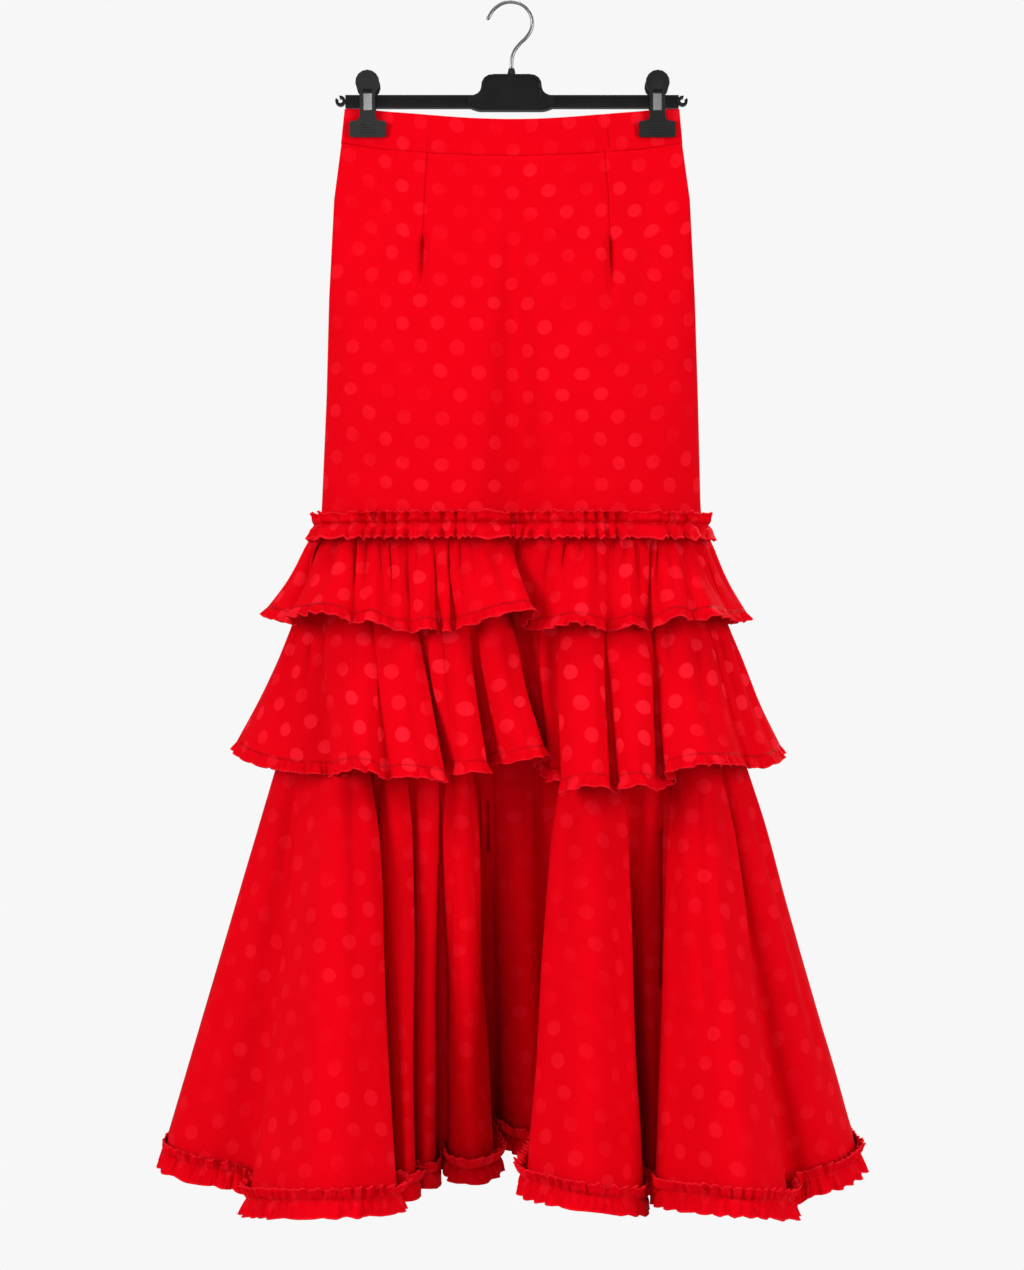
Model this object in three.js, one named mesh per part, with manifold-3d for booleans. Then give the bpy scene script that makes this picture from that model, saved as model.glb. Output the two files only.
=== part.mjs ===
// A flamenco skirt held by its waistband on a clip hanger.
// Millimetres, +Z up, the front of the skirt faces -Y. The origin is the inside top of the hanger's hook.
// The cloth is a wall with an inside and an outside, worked out from the body section, a table of folds
// for each flounce, and the cloth's own length. The hanger is worked out from its bar, plate and clips.

import * as THREE from 'three';
import { mergeVertices } from 'three/addons/utils/BufferGeometryUtils.js';
import Module from 'manifold-3d';

const wasm = await Module();
wasm.setup();

// ---------------------------------------------------------------- driving dimensions

const CLOTH = 1.6; // thickness of a cloth wall, lining allowance included
const SEAM = 0.3; // gap kept between pieces that touch
const FRONT = -1; // the front of the skirt faces -Y
const BACK = 1;

// Waistband: its top and bottom edges at the side seams, and how far each sags between the clips.
const BAND = { top: -105.6, topSag: 14, bottom: -139.8, bottomSag: 16.6 };
const PANEL_BOTTOM = -682; // lower edge of the hip panels, under tier 2
const CLIP_X = [-143.5, 145.5]; // centre of each clip along the bar
const PINCH = 1.35; // depth of one layer at the clips, from the plane of the side seams
const GRIP = 22; // half of the width that a clip presses flat

// Hip sections, from the waist down: side seams left and right, depth of the front and of the back,
// and how far the section has rounded out from the pinched waist (0) to a full oval (1).
const HIP = [
  { z: -104, left: -166, right: 167, front: 17, back: 17, round: 0 },
  { z: -142, left: -170, right: 170.5, front: 20, back: 21, round: 0 },
  { z: -196, left: -177, right: 178, front: 29, back: 32, round: 0.3 },
  { z: -296, left: -182, right: 183, front: 48, back: 54, round: 0.75 },
  { z: -396, left: -184.5, right: 186, front: 61, back: 68, round: 1 },
  { z: -500, left: -189, right: 188.5, front: 67, back: 76, round: 1 },
  { z: -600, left: -195, right: 195, front: 70, back: 80, round: 1 },
  { z: -690, left: -207, right: 207, front: 73, back: 84, round: 1 },
];

// Released dart tucks of the front panel: place across the half width, from -1 to 1 of it.
const TUCKS = [-0.49, 0.54];
const TUCK = { release: -228, opening: 22, open: -262, end: -330, pinned: 0.7, deep: 6, narrow: 2, wide: 6 };

// Soft trough down the middle of the front, where the cloth sinks between the two clips.
const TROUGH = { x: 3, top: -176, bottom: -690, depth: 30, narrow: 9, wide: 36 };

// Flounces. Each row of a fold table is one fold that stands out: where its two creases start on the
// seam (neck) and end at the hem (hem), how far each crease stands out at the hem (sides), how far the
// fold's crown does, the deepest place behind its right crease (valley: x, depth), and how much shorter
// the cloth hangs at its left and right creases (lift). Depth is the distance from the side seams' plane.
const TIER_1 = {
  seam: -524,
  gather: 1.6,
  curl: 0.4,
  levels: [0, 0.16, 0.55, 1],
  valleyWidth: 6,
  length: 102,
  crownLength: 111,
  front: [
    { neck: [-192, -184], hem: [-249, -219], sides: [0, 52], crown: 28, valley: [-209, 62], lift: [0, 0] },
    { neck: [-180, -150], hem: [-217, -160], sides: [72, 106], crown: 105, valley: [-153, 100], lift: [0, 0] },
    { neck: [-144, -118], hem: [-147, -110], sides: [103, 92], crown: 110, valley: [-98, 82], lift: [0, 0] },
    { neck: [-90, -78], hem: [-88, -73], sides: [90, 92], crown: 104, valley: [-70, 84], lift: [2, 2] },
    { neck: [-72, -62], hem: [-66, -58], sides: [90, 92], crown: 99, valley: [-56, 82], lift: [2, 2] },
    { neck: [-54, -14], hem: [-51, 21], sides: [92, 106], crown: 119, valley: [12, 72], lift: [6, 6] },
    { neck: [46, 84], hem: [30, 84], sides: [92, 98], crown: 117, valley: [93, 82], lift: [3, 3] },
    { neck: [104, 117], hem: [107, 123], sides: [92, 92], crown: 105, valley: [131, 82], lift: [3, 3] },
    { neck: [140, 154], hem: [139, 172], sides: [92, 100], crown: 110, valley: [177, 95], lift: [0, 0] },
    { neck: [158, 172], hem: [183, 211], sides: [96, 70], crown: 91, valley: [214, 60], lift: [0, 0] },
    { neck: [181, 192], hem: [221, 239], sides: [48, 0], crown: 28, valley: null, lift: [0, 0] },
  ],
  back: [
    { neck: [-192, -182], hem: [-249, -214], sides: [0, 60], crown: 32, valley: [-203, 72], lift: [0, 0] },
    { neck: [-176, -132], hem: [-207, -132], sides: [84, 98], crown: 120, valley: [-124, 92], lift: [0, 0] },
    { neck: [-114, -70], hem: [-120, -52], sides: [102, 104], crown: 126, valley: [-46, 94], lift: [2, 2] },
    { neck: [-52, -34], hem: [-38, -14], sides: [102, 104], crown: 118, valley: [-8, 94], lift: [4, 4] },
    { neck: [-18, 40], hem: [-2, 66], sides: [104, 106], crown: 128, valley: [72, 92], lift: [1, 1] },
    { neck: [58, 98], hem: [78, 138], sides: [102, 98], crown: 122, valley: [143, 88], lift: [2, 2] },
    { neck: [118, 170], hem: [148, 208], sides: [96, 74], crown: 114, valley: [211, 62], lift: [0, 0] },
    { neck: [180, 192], hem: [217, 239], sides: [52, 0], crown: 30, valley: null, lift: [0, 0] },
  ],
};

const TIER_2 = {
  seam: -555,
  gather: 3,
  curl: 0.35,
  levels: [0, 0.2, 0.46, 0.73, 1],
  valleyWidth: 6,
  length: 211,
  crownLength: 228,
  front: [
    { neck: [-196, -187], hem: [-278, -176], sides: [0, 80], crown: 50, valley: [-158, 88], lift: [5, 5] },
    { neck: [-183, -142], hem: [-170, -124], sides: [114, 138], crown: 147, valley: [-119, 130], lift: [0, 0] },
    { neck: [-136, -102], hem: [-113, -62], sides: [134, 120], crown: 141, valley: [-77, 86], lift: [0, 0] },
    { neck: [-84, -52], hem: [-60, -22], sides: [96, 102], crown: 119, valley: [-26, 80], lift: [13, 13] },
    { neck: [-40, -15], hem: [-12, 34], sides: [90, 104], crown: 118, valley: [22, 64], lift: [22, 22] },
    { neck: [22, 32], hem: [36, 45], sides: [78, 84], crown: 91, valley: [55, 80], lift: [6, 6] },
    { neck: [50, 84], hem: [47, 92], sides: [112, 132], crown: 146, valley: [98, 116], lift: [-2, -4] },
    { neck: [92, 122], hem: [104, 136], sides: [130, 120], crown: 145, valley: [158, 92], lift: [-4, -6] },
    { neck: [137, 178], hem: [147, 222], sides: [118, 94], crown: 133, valley: [231, 74], lift: [9, 9] },
    { neck: [184, 196], hem: [240, 272], sides: [64, 0], crown: 36, valley: null, lift: [3, 3] },
  ],
  back: [
    { neck: [-196, -184], hem: [-278, -190], sides: [0, 84], crown: 54, valley: [-172, 100], lift: [0, 0] },
    { neck: [-178, -126], hem: [-184, -96], sides: [126, 132], crown: 156, valley: [-92, 112], lift: [0, 0] },
    { neck: [-110, -66], hem: [-82, -22], sides: [124, 124], crown: 144, valley: [-18, 102], lift: [6, 6] },
    { neck: [-48, 20], hem: [-9, 64], sides: [128, 132], crown: 160, valley: [66, 112], lift: [0, 0] },
    { neck: [38, 84], hem: [74, 132], sides: [122, 120], crown: 142, valley: [147, 103], lift: [8, 8] },
    { neck: [104, 172], hem: [142, 224], sides: [130, 98], crown: 150, valley: [230, 78], lift: [2, 2] },
    { neck: [182, 196], hem: [238, 272], sides: [70, 0], crown: 40, valley: null, lift: [0, 0] },
  ],
};

const TIER_3 = {
  seam: -676,
  gather: 4,
  curl: 0,
  levels: [0, 0.1, 0.25, 0.42, 0.6, 0.8, 1],
  valleyWidth: 11,
  length: 503,
  crownLength: 510,
  front: [
    { neck: [-206, -195], hem: [-349, -266], sides: [0, 64], crown: 36, valley: [-243, 76], lift: [9, 12] },
    { neck: [-190, -146], hem: [-250, -109], sides: [115, 150], crown: 189, valley: [-120, 42], lift: [0, 10] },
    { neck: [-126, -106], hem: [-109, -94], sides: [60, 54], crown: 70, valley: [-102, 24], lift: [10, 10] },
    { neck: [-89, -73], hem: [-91, -76], sides: [38, 34], crown: 44, valley: [-70, 4], lift: [12, 12] },
    { neck: [-60, -46], hem: [-61, -17], sides: [32, 28], crown: 60, valley: [-22, -54], lift: [22, 22] },
    { neck: [-16, 16], hem: [-5, 30], sides: [-16, -4], crown: 6, valley: [46, -52], lift: [34, 36] },
    { neck: [60, 100], hem: [16, 126], sides: [135, 122], crown: 176, valley: [113, 32], lift: [26, 8] },
    { neck: [120, 147], hem: [129, 145], sides: [48, 56], crown: 63, valley: [163, 78], lift: [13, 13] },
    { neck: [162, 188], hem: [136, 258], sides: [122, 158], crown: 194, valley: [274, 84], lift: [16, -4] },
    { neck: [194, 206], hem: [292, 346], sides: [88, 0], crown: 46, valley: null, lift: [8, 13] },
  ],
  back: [
    { neck: [-206, -193], hem: [-349, -264], sides: [0, 74], crown: 44, valley: [-240, 92], lift: [9, 11] },
    { neck: [-188, -142], hem: [-250, -150], sides: [132, 144], crown: 184, valley: [-158, 96], lift: [2, 8] },
    { neck: [-124, -98], hem: [-136, -80], sides: [112, 106], crown: 128, valley: [-42, 66], lift: [12, 10] },
    { neck: [-78, -36], hem: [-82, 24], sides: [134, 138], crown: 190, valley: [14, 92], lift: [4, 0] },
    { neck: [-18, 14], hem: [36, 86], sides: [106, 100], crown: 124, valley: [125, 60], lift: [8, 12] },
    { neck: [36, 92], hem: [83, 188], sides: [134, 136], crown: 188, valley: [180, 92], lift: [6, 0] },
    { neck: [112, 146], hem: [200, 252], sides: [112, 102], crown: 138, valley: [262, 82], lift: [8, 8] },
    { neck: [166, 206], hem: [282, 346], sides: [76, 0], crown: 44, valley: null, lift: [8, 12] },
  ],
};

const STAND = CLOTH + SEAM + 2.3; // from the middle of a panel to the middle of what is sewn on it
const LAYER_CLEAR = 3.2; // least distance between the middle of one flounce and the one under it

// Heading frill: a strip gathered along its middle, over the top of tier 1.
const HEADING = { seam: -522, up: 11, down: 15, gathers: 27, flare: 8, wave: 3.2, stand: 7.8, atSides: 0.75 };

// Hem ruche: a strip gathered above its middle, on the outside of tier 3's hem.
const RUCHE = { rise: 12, up: 8, down: 18, pitch: 25, wave: 4.8, flare: 2, apart: 1.3 };

const BAR = { left: -166, right: 167, top: -92.1, height: 12.6, thick: 8, rim: 2.5, web: 2.6 };
const NOTCH = { x: 171, radius: 5.2, bore: 2.3, mouth: 2.6 }; // open strap notch at each end of the bar
// Centre plate: its width at the top and where it runs into the bar, and the round corners of its top.
const PLATE = { width: 61, top: -71.3, flare: 86, low: -107.5, thick: 10, corner: 13 };
const RECESS = { half: 28.5, top: -73.6, bottom: -99.3, round: 12, foot: 4, deep: 1.2 };
const BOSS = { z: -75.6, radius: 4, half: 4.6 };
const FERRULE = { bottom: -74, collar: -71, top: -64.9, radius: 4.4, topRadius: 2.9 };
const WIRE = { radius: 1.75, socket: 5 };
// Clip half: jaw, neck and round thumb pad, and the slot down the neck.
const JAW = { width: 37, height: 16, thick: 3.2, lean: 0.13, top: -118.5, neck: 16, head: 12, headZ: -80.5 };
const JAW_CORNER = 3;
const SLOT = { half: 4.7, top: -86.5, bottom: -108 };
// Clip spring: half of its depth over the bar and at its feet, the steel's thickness and its width.
const SPRING = { outerTop: 6.9, outerLow: 4.95, low: -108.5, strip: 0.6, width: 8.6 };

const RED = new THREE.Color(0.93, 0.0, 0.025);
const BLACK = new THREE.Color(0.02, 0.02, 0.022);
const STEEL = new THREE.Color(0.62, 0.62, 0.63);

const skirt = new THREE.Group();

const clothFinish = new THREE.MeshStandardMaterial({ color: RED, roughness: 0.8, metalness: 0 });
const plasticFinish = new THREE.MeshStandardMaterial({ color: BLACK, roughness: 0.38, metalness: 0 });
const steelFinish = new THREE.MeshStandardMaterial({ color: STEEL, roughness: 0.3, metalness: 1 });

// ---------------------------------------------------------------- small helpers

const mix = (a, b, t) => a + (b - a) * t;
const clamp01 = (t) => Math.min(1, Math.max(0, t));
const smooth = (a, b, t) => {
  const q = clamp01((t - a) / (b - a));
  return q * q * (3 - 2 * q);
};

function addMesh(name, geometry, finish) {
  const mesh = new THREE.Mesh(geometry, finish.clone());
  mesh.name = name;
  skirt.add(mesh);
}

// Turns an end normal so that the wall's end face lies in its seam's plane: y = 0 at a side seam, x = 0 at
// the centre-back seam.
function squareToSeam(normal, point, side) {
  if (Math.abs(point.y) < SEAM) {
    normal.set(side, 0, 0);
  } else {
    normal.setX(0).normalize();
  }
}

// A closed cloth wall on a grid of points: rows run down the cloth, columns across it from the left
// side seam to the right one. Both faces are the grid moved half a thickness along its own normals.
function clothWall(name, grid, facing) {
  const rows = grid.length;
  const columns = grid[0].length;
  const positions = [];
  const index = [];
  const shift = (face) => {
    for (let j = 0; j < rows; j++) {
      for (let i = 0; i < columns; i++) {
        const across = grid[j][Math.min(i + 1, columns - 1)].clone().sub(grid[j][Math.max(i - 1, 0)]);
        const down = grid[Math.min(j + 1, rows - 1)][i].clone().sub(grid[Math.max(j - 1, 0)][i]);
        const normal = across.cross(down).multiplyScalar(facing).normalize();
        if (i === 0 || i === columns - 1) {
          squareToSeam(normal, grid[j][i], i === 0 ? -1 : 1);
        }
        const point = grid[j][i].clone().addScaledVector(normal, (face * CLOTH) / 2);
        positions.push(point.x, point.y, point.z);
      }
    }
  };
  shift(1);
  shift(-1);
  const outer = (j, i) => j * columns + i;
  const inner = (j, i) => rows * columns + j * columns + i;
  const quad = (a, b, c, d) => {
    if (facing > 0) {
      index.push(a, b, c, a, c, d);
    } else {
      index.push(a, c, b, a, d, c);
    }
  };
  for (let j = 0; j < rows - 1; j++) {
    for (let i = 0; i < columns - 1; i++) {
      quad(outer(j, i), outer(j, i + 1), outer(j + 1, i + 1), outer(j + 1, i));
      quad(inner(j, i), inner(j + 1, i), inner(j + 1, i + 1), inner(j, i + 1));
    }
  }
  const last = columns - 1;
  const low = rows - 1;
  for (let i = 0; i < last; i++) {
    quad(outer(0, i + 1), outer(0, i), inner(0, i), inner(0, i + 1));
    quad(outer(low, i), outer(low, i + 1), inner(low, i + 1), inner(low, i));
  }
  for (let j = 0; j < low; j++) {
    quad(outer(j, 0), outer(j + 1, 0), inner(j + 1, 0), inner(j, 0));
    quad(outer(j + 1, last), outer(j, last), inner(j, last), inner(j + 1, last));
  }
  const geometry = new THREE.BufferGeometry();
  geometry.setAttribute('position', new THREE.Float32BufferAttribute(positions, 3));
  geometry.setIndex(index);
  addMesh(name, geometry, clothFinish);
}

// ---------------------------------------------------------------- the hips

function hipAt(z) {
  const below = HIP.findIndex((row) => row.z <= z);
  if (below <= 0) {
    return below === 0 ? HIP[0] : HIP[HIP.length - 1];
  }
  const a = HIP[below - 1];
  const b = HIP[below];
  const t = (z - a.z) / (b.z - a.z);
  const row = {};
  for (const key of Object.keys(a)) {
    row[key] = mix(a[key], b[key], t);
  }
  return row;
}

// Depth of the hip cloth at x and height z. `out` gives the same section that much bigger all round.
function hipDepth(x, z, facing, out = 0) {
  const row = hipAt(z);
  const left = row.left - out;
  const right = row.right + out;
  const place = clamp01((x - left) / (right - left)) * 2 - 1;
  const full = (facing === FRONT ? row.front : row.back) + out;
  const oval = Math.sqrt(1 - place * place);
  const reach = place < 0 ? (CLIP_X[0] + GRIP) / HIP[0].left : (CLIP_X[1] - GRIP) / HIP[0].right;
  const lens = Math.max(0, 1 - (place / reach) ** 2);
  const edge = Math.min(x - left, right - x) / (PINCH * 1.2);
  const fold = (PINCH + out * (1 - row.round)) * Math.sqrt(1 - (1 - clamp01(edge)) ** 2);
  return fold + full * mix(lens, oval, row.round) * 0.98 - relief(x, place, z, facing);
}

// What is sunk into the front panel: the trough and the two tucks. The back sinks a little at its seam.
function relief(x, place, z, facing) {
  const down = clamp01((TROUGH.top - z) / (TROUGH.top - TROUGH.bottom));
  const width = mix(TROUGH.narrow, TROUGH.wide, down);
  const trough = TROUGH.depth * down ** 1.3 * Math.exp(-(((x - TROUGH.x) / width) ** 2));
  if (facing === BACK) {
    return trough * 0.35;
  }
  return trough + tuckDepth(x, place, z);
}

function tuckDepth(x, place, z) {
  const row = hipAt(z);
  const opened = smooth(TUCK.release, TUCK.release - TUCK.opening, z) * (1 - smooth(TUCK.open, TUCK.end, z));
  const pinned = z > TUCK.release - TUCK.opening ? TUCK.pinned : 0;
  const width = mix(TUCK.narrow, TUCK.wide, opened);
  let depth = 0;
  for (const tuck of TUCKS) {
    const middle = mix(row.left, row.right, (tuck + 1) / 2);
    const near = Math.max(0, 1 - Math.abs(x - middle) / width);
    depth += near * Math.max(pinned, TUCK.deep * opened);
  }
  return depth;
}

// Places of the columns across a half of the skirt, from -1 at the left seam to 1 at the right one.
function placesAcross(steps, extra, from = -1, to = 1) {
  const places = [];
  for (let i = 0; i <= steps; i++) {
    places.push(-Math.cos((i / steps) * Math.PI));
  }
  const kept = places.filter((p) => extra.every((e) => Math.abs(p - e) > 0.024));
  return [...kept, ...extra].filter((p) => p >= from && p <= to).sort((a, b) => a - b);
}

// Point of the hip cloth at a place across and a height.
function hipPoint(place, z, facing) {
  const row = hipAt(z);
  const x = mix(row.left, row.right, (place + 1) / 2);
  const depth = Math.abs(place) === 1 ? 0 : hipDepth(x, z, facing);
  return new THREE.Vector3(x, facing * (SEAM / 2 + depth), z);
}

const bandTop = (place) => BAND.top - BAND.topSag * (1 - place * place) ** 2;
const bandBottom = (place) => BAND.bottom - BAND.bottomSag * (1 - place * place) ** 1.25;

function makeWaistband(name, facing) {
  const grips = CLIP_X.flatMap((x) => [x, x - Math.sign(x) * (GRIP - 1)]).map((x) => x / HIP[0].right);
  const places = placesAcross(22, grips);
  const grid = [0, 0.5, 1].map((down) => {
    const row = places.map((p) => hipPoint(p, mix(bandTop(p), bandBottom(p), down), facing));
    return row;
  });
  clothWall(name, grid, facing);
}

function makePanel(name, facing, places, levels) {
  const grid = levels.map((level) => {
    const row = places.map((p) => {
      const z = mix(bandBottom(p) - SEAM * 1.2, PANEL_BOTTOM, level);
      return hipPoint(p, z, facing);
    });
    return row;
  });
  clothWall(name, grid, facing);
}

const tuckPlaces = TUCKS.flatMap((tuck) => [-10, -5, -2, 0, 2, 5, 10].map((mm) => tuck + mm / 180));
const PANEL_LEVELS = [0, 0.07, 0.14, 0.165, 0.25, 0.37, 0.52, 0.68, 0.84, 1];

makeWaistband('waistband_front', FRONT);
makeWaistband('waistband_back', BACK);
makePanel('front_panel', FRONT, placesAcross(24, tuckPlaces), PANEL_LEVELS);

// The back opens down its middle: each half stops half a seam short of the centre-back line.
const backPlaces = placesAcross(24, [], -1, -0.001);
const backLevels = [0, 0.12, 0.26, 0.42, 0.6, 0.8, 1];
const halfSeam = SEAM / 2 / HIP[5].right;
makePanel('back_panel_left', BACK, [...backPlaces, -halfSeam], backLevels);
makePanel('back_panel_right', BACK, [halfSeam, ...backPlaces.map((p) => -p).reverse()], backLevels);

// ---------------------------------------------------------------- flounces

// Posts of a flounce: for each crease, crown and valley, its place at the seam and at the hem.
function flouncePosts(tier, side) {
  const facing = side === 'front' ? FRONT : BACK;
  const folds = tier[side];
  const hip = hipAt(tier.seam);
  const out = STAND;
  const posts = [];
  const addPost = (neckX, stand, hemX, hemDepth, lift) => {
    const seamSide = neckX < 0 ? hip.left - out : hip.right + out;
    const ends = posts.length === 0 || hemDepth === 0;
    const top = {
      x: ends ? seamSide : neckX,
      depth: ends ? 0 : hipDepth(neckX, tier.seam, facing, out) + stand,
    };
    posts.push({ top, hem: { x: hemX, depth: hemDepth }, lift });
  };
  folds.forEach((fold, n) => {
    const width = fold.hem[1] - fold.hem[0];
    const atSeam = fold.sides[0] === 0 || fold.sides[1] === 0;
    const steps = width > 90 ? 6 : width > 26 ? 4 : 2;
    for (let k = 0; k <= steps; k++) {
      const q = k / steps;
      const lift = mix(fold.lift[0], fold.lift[1], q);
      const arch = 4 * q * (1 - q);
      const rise = fold.crown - (fold.sides[0] + fold.sides[1]) / 2;
      let hemX = mix(fold.hem[0], fold.hem[1], q);
      let neckX = mix(fold.neck[0], fold.neck[1], q);
      let depth = mix(fold.sides[0], fold.sides[1], q) + rise * arch;
      if (atSeam && fold.sides[0] === 0) {
        hemX = fold.hem[1] - width * Math.cos((q * Math.PI) / 2);
        neckX = mix(fold.neck[1], hip.left - out, Math.cos((q * Math.PI) / 2));
        depth = fold.sides[1] * Math.sin((q * Math.PI) / 2);
      }
      if (atSeam && fold.sides[1] === 0) {
        hemX = fold.hem[0] + width * Math.sin((q * Math.PI) / 2);
        neckX = mix(fold.neck[0], hip.right + out, Math.sin((q * Math.PI) / 2));
        depth = k === steps ? 0 : fold.sides[0] * Math.cos((q * Math.PI) / 2);
      }
      addPost(neckX, tier.gather * (0.3 + 0.7 * arch), hemX, depth, lift);
    }
    if (fold.valley) {
      const next = folds[n + 1];
      const lift = (fold.lift[1] + next.lift[0]) / 2;
      for (const foot of valleyFeet(fold, next, tier.valleyWidth)) {
        addPost(mix(fold.neck[1], next.neck[0], foot.across), 0, foot.x, foot.depth, lift);
      }
    }
  });
  return posts;
}

// The two feet of the valley between a fold and the next, a width apart across the way it runs in.
function valleyFeet(fold, next, width) {
  const from = new THREE.Vector2(fold.hem[1], fold.sides[1]);
  const to = new THREE.Vector2(next.hem[0], next.sides[0]);
  const deep = new THREE.Vector2(...fold.valley);
  const inward = deep.clone().sub(from.clone().add(to).multiplyScalar(0.5)).normalize();
  const across = new THREE.Vector2(inward.y, -inward.x);
  if (across.dot(to.clone().sub(from)) < 0) {
    across.negate();
  }
  return [-0.5, 0.5].map((side) => {
    const foot = deep.clone().addScaledVector(across, side * width);
    return { x: foot.x, depth: foot.y, across: 0.5 + side * 0.4 };
  });
}

// Point of a flounce on one post, `down` from 0 at the seam to 1 at the hem. The cloth keeps its length:
// what goes sideways and forward is taken from the drop.
function flouncePoint(tier, post, down, facing) {
  const goX = post.hem.x - post.top.x;
  const goDepth = post.hem.depth - post.top.depth;
  const length = mix(tier.length, tier.crownLength, clamp01(post.hem.depth / 110)) - post.lift;
  const drop = Math.sqrt(length * length - goX * goX - goDepth * goDepth);
  const spread = mix(down, down * down, tier.curl);
  return new THREE.Vector3(
    post.top.x + goX * spread,
    facing * (SEAM / 2 + post.top.depth + goDepth * spread),
    tier.seam - drop * down,
  );
}

// Greatest depth that a made layer reaches at height z, within `reach` of x.
function layerDepth(grid, x, z, facing, reach = 3) {
  let deepest = -Infinity;
  let before = null;
  for (let i = 0; i < grid[0].length; i++) {
    let here = null;
    for (let j = 0; j < grid.length - 1; j++) {
      const a = grid[j][i];
      const b = grid[j + 1][i];
      if (z <= a.z && z >= b.z) {
        const t = (z - a.z) / (b.z - a.z);
        here = { x: mix(a.x, b.x, t), depth: facing * mix(a.y, b.y, t) };
      }
    }
    if (here && before) {
      const low = Math.max(Math.min(here.x, before.x), x - reach);
      const high = Math.min(Math.max(here.x, before.x), x + reach);
      if (low <= high) {
        for (const edge of [low, high]) {
          const span = here.x - before.x;
          const t = Math.abs(span) < 1e-6 ? 1 : (edge - before.x) / span;
          deepest = Math.max(deepest, mix(before.depth, here.depth, t));
        }
      }
    }
    before = here;
  }
  return deepest;
}

// Moves a grid's points out until they clear the hips and the layer that they hang over. The points next
// to a moved one follow it part of the way. Points further out than `within` and the end columns stay.
function hangOver(grid, facing, under, within = Infinity) {
  for (const row of grid) {
    const pushes = row.map((point, i) => {
      if (i === 0 || i === row.length - 1 || Math.abs(point.x) > within) {
        return 0;
      }
      return Math.max(0, leastDepth(point, facing, under) - facing * point.y);
    });
    row.forEach((point, i) => {
      const follow = (k, share) => (pushes[k] && i > 0 && i < row.length - 1 ? pushes[k] * share : 0);
      const near = Math.max(follow(i - 1, 0.75), follow(i + 1, 0.75), follow(i - 2, 0.4), follow(i + 2, 0.4));
      point.y += facing * Math.max(pushes[i], near);
    });
  }
}

function leastDepth(point, facing, under) {
  const hip = hipAt(point.z);
  const overHips = point.x > hip.left - 2 && point.x < hip.right + 2 && point.z > PANEL_BOTTOM;
  let least = overHips ? SEAM + hipDepth(point.x, point.z, facing, STAND) : -Infinity;
  if (under) {
    for (const dz of [-22, 0, 22]) {
      least = Math.max(least, layerDepth(under, point.x, point.z + dz, facing) + LAYER_CLEAR);
    }
  }
  return least;
}

function makeFlounce(name, tier, side, under) {
  const facing = side === 'front' ? FRONT : BACK;
  const posts = flouncePosts(tier, side);
  const grid = tier.levels.map((down) => posts.map((post) => flouncePoint(tier, post, down, facing)));
  hangOver(grid, facing, under);
  clothWall(`${name}_${side}`, grid, facing);
  return grid;
}

// Steps along a row of points, about `pitch` apart, with one at each point of the row. Each step has the
// outward direction there and the room outside it, up to the next fold of the same row.
function stepsAlong(row, pitch, facing) {
  const points = [];
  for (let i = 0; i < row.length - 1; i++) {
    const parts = Math.max(1, Math.round(row[i].distanceTo(row[i + 1]) / pitch));
    for (let k = 0; k < parts; k++) {
      points.push(row[i].clone().lerp(row[i + 1], k / parts));
    }
  }
  points.push(row[row.length - 1].clone());
  const last = points.length - 1;
  return points.map((point, i) => {
    const before = point.clone().sub(points[Math.max(i - 1, 0)]).normalize();
    const along = points[Math.min(i + 1, last)].clone().sub(point).normalize().add(before);
    const out = new THREE.Vector3(-facing * along.y, facing * along.x, 0).normalize();
    if (i === 0 || i === last) {
      squareToSeam(out, point, i === 0 ? -1 : 1);
    }
    const next = points[Math.min(i + 1, last)].clone().sub(point);
    const square = i === last ? 1 : Math.abs(out.x * next.y - out.y * next.x) / next.length();
    const hollow = next.dot(out) > 0;
    const corner = hollow ? 1 : 1 / Math.max(0.6, square);
    return { point, out, room: roomOutside(points, i, out), corner };
  });
}

// Distance from a point of a row, straight out, to another stretch of the same row.
function roomOutside(points, i, out) {
  let room = Infinity;
  for (let k = 0; k < points.length - 1; k++) {
    const a = points[k].clone().sub(points[i]);
    const side = points[k + 1].clone().sub(points[k]);
    const turn = out.x * side.y - out.y * side.x;
    const near = k === i || k + 1 === i;
    if (!near && Math.abs(turn) > 1e-9) {
      const away = (a.x * side.y - a.y * side.x) / turn;
      const along = (a.x * out.y - a.y * out.x) / turn;
      if (away > 0 && along >= -0.1 && along <= 1.1) {
        room = Math.min(room, away);
      }
    }
  }
  for (const k of [i - 1, i + 1]) {
    if (points[k]) {
      const step = points[k].clone().sub(points[i]);
      const closing = -step.dot(outAt(points, k, out)) / step.length();
      if (closing > 0.02) {
        room = Math.min(room, (1.3 * step.length()) / closing);
      }
    }
  }
  return room;
}

// How the outward direction changes from the point that has `out` to its neighbour k.
function outAt(points, k, out) {
  const last = points.length - 1;
  const along = points[Math.min(k + 1, last)].clone().sub(points[Math.max(k - 1, 0)]);
  const there = new THREE.Vector3(along.y, -along.x, 0).normalize();
  if (there.dot(out) < 0) {
    there.negate();
  }
  return there.sub(out);
}

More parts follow.
